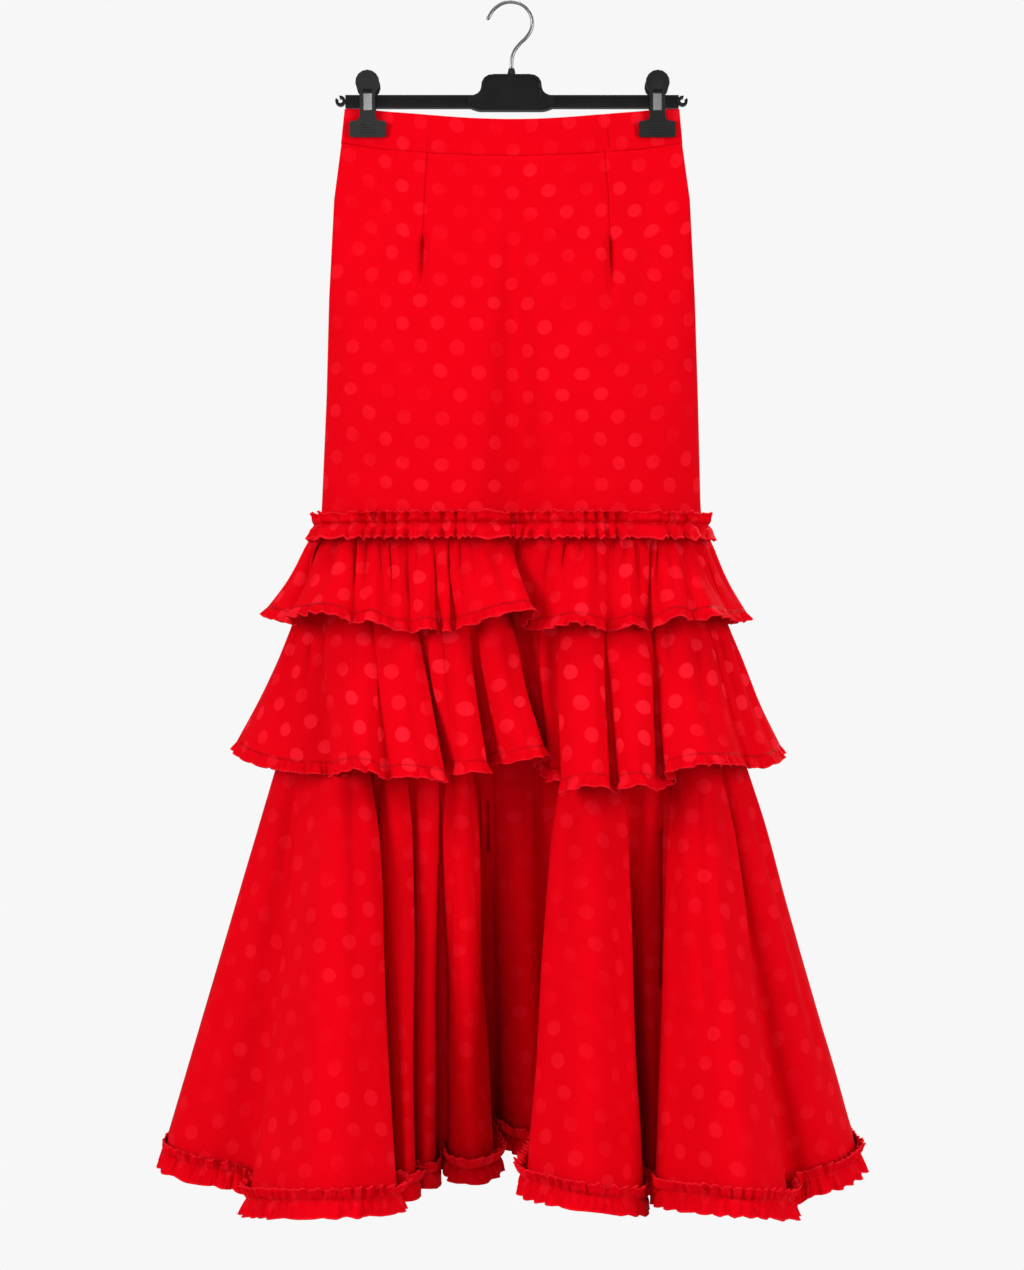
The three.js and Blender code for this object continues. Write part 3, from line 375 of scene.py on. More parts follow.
cloth = make_cloth("red dotted crepe", 0.55)


def places_across(steps, extra=(), start=-1.0, end=1.0):
    """Places of the columns across one half, closer together at the side seams."""
    places = -np.cos(np.linspace(0, math.pi, steps + 1))
    places = places[(places >= start) & (places <= end)]
    return np.unique(np.round(np.concatenate([places, list(extra)]), 6))


# The seam allowance at a panel's top: where it ends and where it turns in, above the seam, and how far it
# lies behind the waistband.
ALLOWANCE = {"end": 4.5, "turn": 0.7, "in": 1.05}


def make_panel(name, facing, places, rows, seed, creases):
    level = np.linspace(0, 1, rows)[:, None]
    top = band_bottom(places[None, :]) - SEAM * 1.2
    z = np.concatenate([top + ALLOWANCE["end"], top + ALLOWANCE["turn"], mix(top, PANEL_BOTTOM, level)])
    grid = hip_points(places[None, :] + 0 * z, z, facing)
    x = grid[:, :, 0]
    moved = unevenness(x, z, seed, 120, 0.45)
    for start, end, deep, wide in creases:
        moved = moved + crease(x, z, start, end, deep, wide)
    calm = smooth(0, 10, top - z) * smooth(1, 0.9, np.abs(places))[None, :]
    into_seam = 0.5 * np.exp(-(((top - z) / 1.6) ** 2)) * (z <= top)
    turned_up = (ALLOWANCE["in"] * (z > top) + into_seam) * smooth(1, 0.985, np.abs(places))[None, :]
    grid[:, :, 1] += facing * (moved * calm - turned_up)
    middle = int(np.argmin(np.abs(x[0] - CENTRE_X)))
    return cloth_piece(name, grid, flat_places(grid, middle), facing, cloth)


# Soft pulls in the cloth: start (x, z), end (x, z), depth, width. They fall away from the clips.
FRONT_PULLS = [
    ((-150, -150), (-118, -330), 0.9, 13),
    ((150, -150), (124, -340), 0.9, 13),
    ((-60, -160), (-38, -420), 1.1, 20),
    ((66, -160), (44, -430), 1.0, 20),
    ((-140, -360), (-120, -520), 1.2, 22),
    ((138, -370), (122, -520), 1.2, 22),
    ((2, -170), (4, -560), 3.4, 15),
]
BACK_LEFT_PULLS = [
    ((-146, -150), (-112, -350), 1.1, 14),
    ((-70, -170), (-48, -440), 1.2, 22),
    ((-130, -380), (-118, -520), 1.4, 22),
    ((-16, -300), (-40, -420), 0.9, 14),
]
BACK_RIGHT_PULLS = [
    ((148, -150), (118, -340), 1.0, 14),
    ((64, -180), (50, -430), 1.3, 20),
    ((134, -390), (116, -520), 1.3, 24),
    ((18, -320), (36, -430), 0.8, 13),
]
tuck_columns = [tuck + mm / HALF["tucks"] for tuck in TUCK_PLACES for mm in np.arange(-12, 12.1, 0.75)]
half_seam = SEAM / 2 / HALF["zip"]
zip_columns = [-half_seam - mm / HALF["zip"] for mm in (0, 0.8, 1.6, 2.6, 4)]
left_places = places_across(96, zip_columns, end=-0.02)
front_panel = make_panel("front_panel", FRONT, places_across(110, tuck_columns), 118, 11, FRONT_PULLS)
back_panels = [
    make_panel("back_panel_left", BACK, left_places, 96, 12, BACK_LEFT_PULLS),
    make_panel("back_panel_right", BACK, -left_places[::-1], 96, 13, BACK_RIGHT_PULLS),
]

# ------------------------------------------------------------------ waistband
# A straight faced band of the same crepe round the top, cut in three across the front and seamed to the
# hip panels below it. The clips pinch its two layers together at the sides.

BAND_SEAMS = {FRONT: (-84.5, 96.5), BACK: (-88, CENTRE_X, 90)}
BAND_THICK = 1.5


def make_band(name, facing):
    seams = [x + mm for x in BAND_SEAMS[facing] for mm in (-2.4, -1.2, 0, 1.2, 2.4)]
    places = places_across(120, [x / HALF["waist"] for x in seams])
    down = np.array([0, 0.03, 0.08, 0.16, 0.28, 0.4, 0.52, 0.64, 0.76, 0.86, 0.93, 0.97, 1])[:, None]
    z = mix(band_top(places[None, :]), band_bottom(places[None, :]), down)
    grid = hip_points(places[None, :] + 0 * z, z, facing)
    x = grid[:, :, 0]
    moved = unevenness(x, z, 21 + facing, 46, 0.18)
    for seam in BAND_SEAMS[facing]:
        moved = moved - 0.7 * np.exp(-(((x - seam) / 1.1) ** 2))
    moved = moved - 0.6 * smooth(0.93, 1, down) - 0.3 * smooth(0.08, 0, down)
    held = smooth(1, 0.94, np.abs(places))[None, :]
    for clip in CLIP_X:
        held = held * smooth(17, 24, np.abs(x - clip))
    grid[:, :, 1] += facing * moved * held
    middle = int(np.argmin(np.abs(x[0] - CENTRE_X)))
    band = cloth_piece(name, grid, flat_places(grid, middle), facing, cloth, BAND_THICK)


make_band("waistband_front", FRONT)
make_band("waistband_back", BACK)

# ------------------------------------------------------------------ flounces
# Three flounces of the crepe, each cut as a half ring for the front and one for the back, so that a short
# top edge falls into deep folds at the hem. Tiers 1 and 2 end in a narrow finely stretched lettuce hem.

STAND = 1.6 + SEAM + 2.3
LAYER_CLEAR = 3.2  # how far a flounce keeps off the one under it
LAYER_NEAR = 22  # how far above and below a point the one under it is looked for
FOLD = "neck hem sides crown valley lift"
TIER_1 = {
    "name": "tier_1_flounce",
    "gathers": {"pitch": 29, "deep": 7.6, "from": 5, "full": 30, "reach": 1.35},
    "seam": -524,
    "gather": 1.6,
    "curl": 0.4,
    "levels": (0, 0.16, 0.55, 1),
    "valley_width": 6,
    "length": 102,
    "crown_length": 111,
    "front": table(
        FOLD,
        [
            ((-192, -184), (-249, -219), (0, 52), 28, (-209, 62), (0, 0)),
            ((-180, -150), (-217, -160), (72, 106), 105, (-153, 100), (0, 0)),
            ((-144, -118), (-147, -110), (103, 92), 110, (-98, 82), (0, 0)),
            ((-90, -78), (-88, -73), (90, 92), 104, (-70, 84), (2, 2)),
            ((-72, -62), (-66, -58), (90, 92), 99, (-56, 82), (2, 2)),
            ((-54, -14), (-51, 21), (92, 106), 119, (12, 72), (6, 6)),
            ((46, 84), (30, 84), (92, 98), 117, (93, 82), (3, 3)),
            ((104, 117), (107, 123), (92, 92), 105, (131, 82), (3, 3)),
            ((140, 154), (139, 172), (92, 100), 110, (177, 95), (0, 0)),
            ((158, 172), (183, 211), (96, 70), 91, (214, 60), (0, 0)),
            ((181, 192), (221, 239), (48, 0), 28, None, (0, 0)),
        ],
    ),
    "back": table(
        FOLD,
        [
            ((-192, -182), (-249, -214), (0, 60), 32, (-203, 72), (0, 0)),
            ((-176, -132), (-207, -132), (84, 98), 120, (-124, 92), (0, 0)),
            ((-114, -70), (-120, -52), (102, 104), 126, (-46, 94), (2, 2)),
            ((-52, -34), (-38, -14), (102, 104), 118, (-8, 94), (4, 4)),
            ((-18, 40), (-2, 66), (104, 106), 128, (72, 92), (1, 1)),
            ((58, 98), (78, 138), (102, 98), 122, (143, 88), (2, 2)),
            ((118, 170), (148, 208), (96, 74), 114, (211, 62), (0, 0)),
            ((180, 192), (217, 239), (52, 0), 30, None, (0, 0)),
        ],
    ),
}
TIER_2 = {
    "name": "tier_2_flounce",
    "gathers": {"pitch": 50, "deep": 8.6, "from": 50, "full": 110, "reach": 1.15},
    "seam": -555,
    "gather": 3,
    "curl": 0.35,
    "levels": (0, 0.2, 0.46, 0.73, 1),
    "valley_width": 6,
    "length": 211,
    "crown_length": 228,
    "front": table(
        FOLD,
        [
            ((-196, -187), (-278, -176), (0, 80), 50, (-158, 88), (5, 5)),
            ((-183, -142), (-170, -124), (114, 138), 147, (-119, 130), (0, 0)),
            ((-136, -102), (-113, -62), (134, 120), 141, (-77, 86), (0, 0)),
            ((-84, -52), (-60, -22), (96, 102), 119, (-26, 80), (13, 13)),
            ((-40, -15), (-12, 34), (90, 104), 118, (22, 64), (22, 22)),
            ((22, 32), (36, 45), (78, 84), 91, (55, 80), (6, 6)),
            ((50, 84), (47, 92), (112, 132), 146, (98, 116), (-2, -4)),
            ((92, 122), (104, 136), (130, 120), 145, (158, 92), (-4, -6)),
            ((137, 178), (147, 222), (118, 94), 133, (231, 74), (9, 9)),
            ((184, 196), (240, 272), (64, 0), 36, None, (3, 3)),
        ],
    ),
    "back": table(
        FOLD,
        [
            ((-196, -184), (-278, -190), (0, 84), 54, (-172, 100), (0, 0)),
            ((-178, -126), (-184, -96), (126, 132), 156, (-92, 112), (0, 0)),
            ((-110, -66), (-82, -22), (124, 124), 144, (-18, 102), (6, 6)),
            ((-48, 20), (-9, 64), (128, 132), 160, (66, 112), (0, 0)),
            ((38, 84), (74, 132), (122, 120), 142, (147, 103), (8, 8)),
            ((104, 172), (142, 224), (130, 98), 150, (230, 78), (2, 2)),
            ((182, 196), (238, 272), (70, 0), 40, None, (0, 0)),
        ],
    ),
}
TIER_3 = {
    "name": "tier_3_flounce",
    "gathers": {"pitch": 96, "deep": 6.5, "from": 60, "full": 160, "reach": 0.95},
    "seam": -676,
    "gather": 4,
    "curl": 0,
    "levels": (0, 0.1, 0.25, 0.42, 0.6, 0.8, 1),
    "valley_width": 11,
    "length": 503,
    "crown_length": 510,
    "front": table(
        FOLD,
        [
            ((-206, -195), (-349, -266), (0, 64), 36, (-243, 76), (9, 12)),
            ((-190, -146), (-250, -109), (115, 150), 189, (-120, 42), (0, 10)),
            ((-126, -106), (-109, -94), (60, 54), 70, (-102, 24), (10, 10)),
            ((-89, -73), (-91, -76), (38, 34), 44, (-70, 4), (12, 12)),
            ((-60, -46), (-61, -17), (32, 28), 60, (-22, -54), (22, 22)),
            ((-16, 16), (-5, 30), (-16, -4), 6, (46, -52), (34, 36)),
            ((60, 100), (16, 126), (135, 122), 176, (113, 32), (26, 8)),
            ((120, 147), (129, 145), (48, 56), 63, (163, 78), (13, 13)),
            ((162, 188), (136, 258), (122, 158), 194, (274, 84), (16, -4)),
            ((194, 206), (292, 346), (88, 0), 46, None, (8, 13)),
        ],
    ),
    "back": table(
        FOLD,
        [
            ((-206, -193), (-349, -264), (0, 74), 44, (-240, 92), (9, 11)),
            ((-188, -142), (-250, -150), (132, 144), 184, (-158, 96), (2, 8)),
            ((-124, -98), (-136, -80), (112, 106), 128, (-42, 66), (12, 10)),
            ((-78, -36), (-82, 24), (134, 138), 190, (14, 92), (4, 0)),
            ((-18, 14), (36, 86), (106, 100), 124, (125, 60), (8, 12)),
            ((36, 92), (83, 188), (134, 136), 188, (180, 92), (6, 0)),
            ((112, 146), (200, 252), (112, 102), 138, (262, 82), (8, 8)),
            ((166, 206), (282, 346), (76, 0), 44, None, (8, 12)),
        ],
    ),
}


def valley_feet(fold, after, width):
    """The two feet of the valley between a fold and the next, a width apart across the way it runs in."""
    start = np.array([fold["hem"][1], fold["sides"][1]], float)
    end = np.array([after["hem"][0], after["sides"][0]], float)
    deep = np.array(fold["valley"], float)
    inward = deep - (start + end) / 2
    inward /= np.linalg.norm(inward)
    across = np.array([inward[1], -inward[0]])
    if across @ (end - start) < 0:
        across = -across
    return [(0.5 + side * 0.4, deep + across * side * width) for side in (-0.5, 0.5)]


def flounce_posts(tier, side):
    """Each crease, crown and valley as a place at the seam and one at the hem, and each fold's own posts."""
    facing = FRONT if side == "front" else BACK
    hip = hip_at(tier["seam"])
    posts = []
    folds = []

    def add(neck_x, stand, hem_x, hem_depth, lift):
        at_end = not posts or hem_depth == 0
        seam_side = hip["left"] - STAND if neck_x < 0 else hip["right"] + STAND
        top_x = seam_side if at_end else neck_x
        top_depth = 0 if at_end else hip_depth(neck_x, tier["seam"], facing, STAND) + stand
        posts.append((top_x, top_depth, hem_x, hem_depth, lift))

    for n, fold in enumerate(tier[side]):
        width = fold["hem"][1] - fold["hem"][0]
        steps = 6 if width > 90 else 4 if width > 26 else 2
        first = len(posts)
        for k in range(steps + 1):
            q = k / steps
            lift = mix(*fold["lift"], q)
            arch = 4 * q * (1 - q)
            rise = fold["crown"] - sum(fold["sides"]) / 2
            hem_x = mix(*fold["hem"], q)
            neck_x = mix(*fold["neck"], q)
            depth = mix(*fold["sides"], q) + rise * arch
            turn = q * math.pi / 2
            if fold["sides"][0] == 0:
                hem_x = fold["hem"][1] - width * math.cos(turn)
                neck_x = mix(fold["neck"][1], hip["left"] - STAND, math.cos(turn))
                depth = fold["sides"][1] * math.sin(turn)
            if fold["sides"][1] == 0:
                hem_x = fold["hem"][0] + width * math.sin(turn)
                neck_x = mix(fold["neck"][0], hip["right"] + STAND, math.sin(turn))
                depth = 0 if k == steps else fold["sides"][0] * math.cos(turn)
            add(neck_x, tier["gather"] * (0.3 + 0.7 * arch), hem_x, depth, lift)
        folds.append((first, len(posts) - 1))
        if fold["valley"]:
            after = tier[side][n + 1]
            for share, foot in valley_feet(fold, after, tier["valley_width"]):
                neck_x = mix(fold["neck"][1], after["neck"][0], share)
                add(neck_x, 0, foot[0], foot[1], (fold["lift"][1] + after["lift"][0]) / 2)
    return np.array(posts, float), folds


def flounce_points(tier, posts, facing):
    """The cloth hangs from each post at its own length: what goes sideways is taken from the drop."""
    top_x, top_depth, hem_x, hem_depth, lift = posts.T
    down = np.array(tier["levels"])[:, None]
    length = mix(tier["length"], tier["crown_length"], np.clip(hem_depth / 110, 0, 1)) - lift
    drop = np.sqrt(length**2 - (hem_x - top_x) ** 2 - (hem_depth - top_depth) ** 2)
    spread = mix(down, down**2, tier["curl"])
    x = top_x + (hem_x - top_x) * spread
    y = facing * (SEAM / 2 + top_depth + (hem_depth - top_depth) * spread)
    return np.stack([x, y, tier["seam"] - drop * down], axis=-1)


def layer_depth(under, x, z, facing, reach=3.0):
    """Greatest depth of a made layer near x at height z."""
    a, b = under[:-1], under[1:]
    hit = (z <= a[:, :, 2]) & (z >= b[:, :, 2])
    t = (z - a[:, :, 2]) / (b[:, :, 2] - a[:, :, 2])
    row = len(hit) - 1 - np.argmax(hit[::-1], axis=0)
    column = np.arange(hit.shape[1])
    crossing = (a + (b - a) * t[:, :, None])[row, column]
    there = hit.any(axis=0)
    both = there[1:] & there[:-1]
    before, here = crossing[:-1], crossing[1:]
    low = np.maximum(np.minimum(before[:, 0], here[:, 0]), x - reach)
    high = np.minimum(np.maximum(before[:, 0], here[:, 0]), x + reach)
    near = both & (low <= high)
    if not near.any():
        return -np.inf
    span = here[:, 0] - before[:, 0]
    best = -np.inf
    for edge in (low, high):
        t = np.where(np.abs(span) < 1e-6, 1, (edge - before[:, 0]) / np.where(span == 0, 1, span))
        depth = facing * mix(before[:, 1], here[:, 1], t)
        best = max(best, depth[near].max())
    return best


def least_depth(point, facing, under):
    """How far out a point must stand to clear the hips and the layer under it."""
    x, _, z = point
    hip = hip_at(z)
    least = -np.inf
    if hip["left"] - 2 < x < hip["right"] + 2 and z > PANEL_BOTTOM:
        least = SEAM + float(hip_depth(x, z, facing, STAND))
    if under is not None:
        for dz in (-LAYER_NEAR, 0, LAYER_NEAR):
            least = max(least, layer_depth(under, x, z + dz, facing) + LAYER_CLEAR)
    return least


def hang_over(grid, facing, under):
    """Moves points out until they clear what they hang over. The points beside a moved one follow it."""
    for row in grid:
        last = len(row) - 1
        push = np.zeros(len(row))
        for i in range(1, last):
            push[i] = max(0, least_depth(row[i], facing, under) - facing * row[i, 1])
        for i in range(len(row)):
            near = 0
            for k, share in ((i - 1, 0.75), (i + 1, 0.75), (i - 2, 0.4), (i + 2, 0.4)):
                if 0 < i < last and 0 <= k <= last:
                    near = max(near, push[k] * share)
            row[i, 1] += facing * max(push[i], near)


def through(points, knots, segment, t):
    """Smooth curve through points (first axis) at their knots: its places inside the given segments."""
    gap = np.maximum(np.diff(knots, axis=0), 1e-6)
    slope = np.diff(points, axis=0) / gap[..., None]
    before = gap[:-1][..., None]
    after = gap[1:][..., None]
    middle = (slope[:-1] * after + slope[1:] * before) / (before + after)
    tangent = np.concatenate([slope[:1], middle, slope[-1:]])
    t = t.reshape((-1,) + (1,) * (points.ndim - 1))
    size = gap[segment][..., None]
    start, end = points[segment], points[segment + 1]
    return (
        start * (2 * t**3 - 3 * t**2 + 1)
        + tangent[segment] * size * (t**3 - 2 * t**2 + t)
        + end * (3 * t**2 - 2 * t**3)
        + tangent[segment + 1] * size * (t**3 - t**2)
    )


def fine_cloth(grid, levels, downs, pitch):
    """A grid made finer: smooth down each post, then round the folds at about that pitch at the hem."""
    levels = np.array(levels, float)
    segment = np.clip(np.searchsorted(levels, downs, side="right") - 1, 0, len(levels) - 2)
    t = (downs - levels[segment]) / (levels[segment + 1] - levels[segment])
    knots = np.repeat(levels[:, None], grid.shape[1], axis=1)
    tall = through(grid, knots, segment, t)
    step = np.linalg.norm(np.diff(grid[-1], axis=0), axis=1)
    parts = np.maximum(2, np.round(step / pitch).astype(int))
    column = np.concatenate([np.full(count, k) for k, count in enumerate(parts)] + [[len(parts) - 1]])
    inside = np.concatenate([np.arange(count) / count for count in parts] + [[1.0]])
    by_post = tall.transpose(1, 0, 2)
    chord = np.linalg.norm(np.diff(by_post, axis=0), axis=2) ** 0.5
    knots = np.concatenate([np.zeros((1, len(downs))), np.cumsum(np.maximum(chord, 0.05), axis=0)])
    wide = through(by_post, knots, column, inside)
    return wide.transpose(1, 0, 2), column + inside


def along_row(row):
    """Distance along a row of points from its first one."""
    return np.concatenate([[0], np.cumsum(np.linalg.norm(np.diff(row, axis=0), axis=1))])


def ring_places(grid, hem, down):
    """Each point's place on the flat half ring that the flounce was cut from, in metres."""
    neck = along_row(grid[0])[-1]
    height = down[-1, 0]
    inner = neck * height / (hem[-1] - neck)
    own = np.array([along_row(row) for row in grid])
    share = (own / own[:, -1:] + hem / hem[-1]) / 2
    turn = (share - 0.5) * hem[-1] / (inner + height)
    radius = inner + down
    return np.stack([radius * np.sin(turn), -radius * np.cos(turn)], axis=-1) * MM


# Creases and soft ridges of single folds: which fold, start and end as (across the fold, down the cloth)
# from 0 to 1, depth in millimetres (negative stands out) and width.
CREASES = {
    "tier_1_flounce_front": [
        (1, (0.5, 0.2), (0.42, 0.95), 1.6, 8),
        (2, (0.55, 0.1), (0.6, 0.95), 1.2, 7),
        (5, (0.35, 0.1), (0.45, 0.9), 2.0, 9),
        (5, (0.7, 0.2), (0.78, 0.9), 1.6, 8),
        (6, (0.5, 0.1), (0.4, 0.9), 1.8, 8),
        (8, (0.5, 0.1), (0.56, 1.0), 1.6, 8),
        (9, (0.5, 0.1), (0.62, 1.0), 1.4, 7),
    ],
    "tier_2_flounce_front": [
        (0, (0.5, 0.3), (0.6, 1.0), 2.6, 14),
        (1, (0.5, 0.3), (0.45, 1.0), 1.6, 10),
        (2, (0.5, 0.3), (0.62, 1.0), 2.2, 10),
        (3, (0.5, 0.3), (0.6, 1.0), 2.0, 9),
        (6, (0.55, 0.3), (0.5, 1.0), 2.0, 10),
        (7, (0.5, 0.3), (0.6, 1.0), 1.5, 8),
        (8, (0.6, 0.2), (0.72, 0.9), 2.4, 12),
        (9, (0.5, 0.3), (0.4, 1.0), 2.4, 12),
    ],
    "tier_3_flounce_front": [
        (0, (0.4, 0.2), (0.55, 0.95), 3.4, 18),
        (1, (0.3, 0.15), (0.34, 0.9), 2.4, 20),
        (1, (0.62, 0.1), (0.72, 0.7), -2.2, 18),
        (4, (0.1, 0.22), (0.7, 0.45), 2.4, 8),
        (6, (0.35, 0.25), (0.3, 0.95), 2.2, 18),
        (6, (0.75, 0.15), (0.8, 0.8), 2.6, 16),
        (8, (0.62, 0.2), (0.7, 1.0), -4.2, 20),
        (8, (0.46, 0.3), (0.5, 0.75), 3.0, 18),
        (8, (0.15, 0.2), (0.2, 0.7), 2.0, 16),
        (9, (0.2, 0.2), (0.5, 0.42), 3.0, 12),
        (9, (0.5, 0.4), (0.4, 0.95), 2.6, 16),
    ],
    "tier_1_flounce_back": [
        (1, (0.5, 0.1), (0.44, 0.95), 2.0, 9),
        (2, (0.5, 0.1), (0.6, 0.95), 1.8, 8),
        (4, (0.4, 0.1), (0.46, 0.95), 2.0, 9),
        (6, (0.5, 0.1), (0.44, 1.0), 1.8, 9),
    ],
    "tier_2_flounce_back": [
        (1, (0.5, 0.3), (0.4, 1.0), 3.2, 13),
        (3, (0.4, 0.3), (0.52, 1.0), 3.4, 13),
        (5, (0.6, 0.3), (0.55, 1.0), 3.0, 13),
        (0, (0.5, 0.3), (0.6, 1.0), 2.4, 14),
    ],
    "tier_3_flounce_back": [
        (0, (0.4, 0.2), (0.55, 0.95), 3.2, 18),
        (1, (0.4, 0.2), (0.34, 0.9), 2.6, 18),
        (3, (0.3, 0.15), (0.36, 0.9), 2.8, 18),
        (3, (0.7, 0.25), (0.66, 0.95), -2.8, 18),
        (5, (0.5, 0.15), (0.56, 0.85), 2.8, 18),
        (7, (0.5, 0.3), (0.4, 0.95), 3.0, 16),
    ],
}
LETTUCE = {"band": 14, "pitch": 19, "out": 3.7, "dip": 3.8, "curl": 1.6, "near": 1.4, "thick": 1.7}
STITCH = {"pitch": 3.3, "long": 2.5, "radius": 0.2}

thread = make_finish(
    "red sewing thread", (0.50, 0.0006, 0.0040, 1), (0.62, 0.0020, 0.0080, 1),
    tone=(2400.0, 2.0), grain=(2400.0, 2.0), roughness=(0.5, 0.5), relief=(0.4, 0.0001),
    Specular_IOR_Level=0.15,
)


def at_places(line, far, places):
    """Points at the given distances along a line of points."""
    return np.stack([np.interp(places, far, line[:, k]) for k in range(3)], axis=-1)


def both_ways(across, down):
    """A grid of (across, down) pairs."""
    return np.stack(np.meshgrid(across, down), axis=-1)


def tube_faces(rings, sides, capped=True):
    """Faces of a tube through rings of points, closed at both ends if capped."""
    j, i = np.mgrid[0 : rings - 1, 0:sides]
    after = (i + 1) % sides
    here, beyond = j * sides, (j + 1) * sides
    quads = np.stack([here + i, here + after, beyond + after, beyond + i], axis=-1)
    faces = quads.reshape(-1, 4).tolist()
    if capped:
        last = (rings - 1) * sides
        faces += [list(range(sides))[::-1], list(range(last, last + sides))]
    return faces


def add_stitches(name, line, out):
    """A row of stitches lying on the cloth along a line of points, each one dipping in at both ends."""
    far = along_row(line)
    starts = np.arange(STITCH["pitch"], far[-1] - STITCH["pitch"] * 2, STITCH["pitch"])
    points, faces = [], []
    profile = [(0, -0.3, 0.6), (0.2, 0.16, 1.0), (0.8, 0.16, 1.0), (1, -0.3, 0.6)]
    sections = table("share height size", profile)
    one_stitch = tube_faces(len(sections), 4)
    for start in starts:
        faces += [[len(points) + k for k in face] for face in one_stitch]
        for row in sections:
            at = start + row["share"] * STITCH["long"]
            middle, up = at_places(line, far, at), at_places(out, far, at)
            beside = np.cross(up, at_places(line, far, at + 0.5) - middle)
            beside /= np.linalg.norm(beside)
            for turn in (0.25, 0.75, 1.25, 1.75):
                sway = math.cos(turn * math.pi) * STITCH["radius"] * row["size"]
                lift = math.sin(turn * math.pi) * STITCH["radius"] * row["size"]
                points.append(middle + up * (row["height"] + lift) + beside * sway)
    show(name, points, faces, thread)


def wave_turns(hem, pitch):
    """How many waves of a changing pitch there are up to each point of a hem."""
    return np.concatenate([[0], np.cumsum(np.diff(hem) / ((pitch[1:] + pitch[:-1]) / 2))])


def scallop(turn, start):
    """Rounded arches with sharp dips between them, one for each full turn."""
    return np.abs(np.sin(turn / 2 + start)) ** 0.8 - 0.6


def lettuce(hem, down, length, seed):
    """Waves of a narrow stretched hem: how far the cloth stands out and how much lower it hangs."""
    random = np.random.default_rng(seed)
    pitch = LETTUCE["pitch"] + 4.5 * np.sin(hem / 61 + random.uniform(0, 6))
    pitch += 3.5 * np.sin(hem / 23 + random.uniform(0, 6))
    turn = wave_turns(hem, pitch) * 2 * math.pi
    strong = 0.65 + 0.5 * np.sin(hem / 47 + random.uniform(0, 6)) * np.sin(hem / 19 + random.uniform(0, 6))
    top = length - LETTUCE["band"]
    near = smooth(top, length - 2, down) * strong
    curl = LETTUCE["curl"] * smooth(top, length, down) ** 2
    swing = LETTUCE["out"] * near * (np.sin(turn) + 0.16 * np.sin(2.3 * turn + 1))
    return curl + swing, LETTUCE["dip"] * near * scallop(turn, 0.4)


def gathers(hem, down, length, kind, seed):
    """Rounded gathers that run down from the seam between sharp creases, each of its own depth and length."""
    random = np.random.default_rng(seed)
    beat = hem / kind["pitch"]
    turn = wave_turns(hem, kind["pitch"] * (1 + 0.32 * np.sin(beat / 1.9) + 0.2 * np.sin(beat / 0.83 + 2)))
    which = turn.astype(int)
    deep = kind["deep"] * (0.35 + 0.9 * random.random(which.max() + 2))[which]
    reach = length * (kind["reach"] * (0.45 + 0.75 * random.random(which.max() + 2)))[which]
    shown = smooth(kind["from"], kind["full"], down) * smooth(1, 0.35, down / reach)
    return np.abs(np.sin(math.pi * turn)) ** 0.75 * deep * shown


crisp_cloth = make_cloth("red dotted crepe, short flounces", 0.95)
long_cloth = make_cloth("red dotted crepe, long flounce", 0.4)


def make_flounce(tier, side, under, downs, pitch, seed):
    facing = FRONT if side == "front" else BACK
    name = f"{tier['name']}_{side}"
    posts, folds = flounce_posts(tier, side)
    rough = flounce_points(tier, posts, facing)
    hang_over(rough, facing, under)
    grid, column = fine_cloth(rough, tier["levels"], downs, pitch)
    hem = along_row(grid[-1])
    drop = np.linalg.norm(np.diff(grid, axis=0), axis=2).mean(axis=1)
    down = np.concatenate([[0], np.cumsum(drop)])[:, None]
    length = down[-1, 0]
    moved = unevenness(hem, down, seed, 90, 0.5) + unevenness(hem, down, seed + 50, 34, 0.16)
    for fold, start, end, deep, wide in CREASES[name]:
        first, last = (hem[np.searchsorted(column, post)] for post in folds[fold])
        line = [(mix(first, last, across), level * length) for across, level in (start, end)]
        moved = moved + crease(hem, down, *line, deep, wide)
    off_side = smooth(0, 70, np.minimum(hem, hem[-1] - hem))
    moved = moved + gathers(hem, down, length, tier["gathers"], seed + 7) * off_side
    lower = 0
    if tier is not TIER_3:
        out, lower = lettuce(hem, down, length, seed)
        moved = moved + out
        moved = moved - 0.35 * np.exp(-(((down - length + LETTUCE["band"]) / 1.3) ** 2))
    ends = smooth(0, 9, np.minimum(hem, hem[-1] - hem))[None, :]
    places = ring_places(grid, hem, down)
    grid = grid + normals_of(grid, facing) * (moved * ends)[:, :, None]
    grid[:, :, 2] -= lower * ends
    if tier is TIER_3:
        piece = cloth_piece(name, grid, places, facing, long_cloth)
    else:
        above = length - down[:, 0]
        thick = np.where(above < LETTUCE["near"], LETTUCE["thick"], CLOTH_THICK)
        piece = cloth_piece(name, grid, places, facing, crisp_cloth, thick, both_ways(hem, above) * MM)
        row = int(np.argmin(np.abs(down[:, 0] - length + LETTUCE["band"])))
        out = normals_of(grid, facing)[row]
        add_stitches(f"hem_stitching_{name}", grid[row] + out * (CLOTH_THICK / 2), out)
    return piece, rough, grid


def levels_to_hem(rows, hem_rows, band):
    """Even levels down the cloth, with more of them in the hem band and two at the rolled edge."""
    above, within = np.linspace(0, 1 - band, rows), np.linspace(1 - band, 1, hem_rows)
    return np.unique(np.concatenate([above, within, (1 - band * 0.105, 1 - band * 0.085)]))


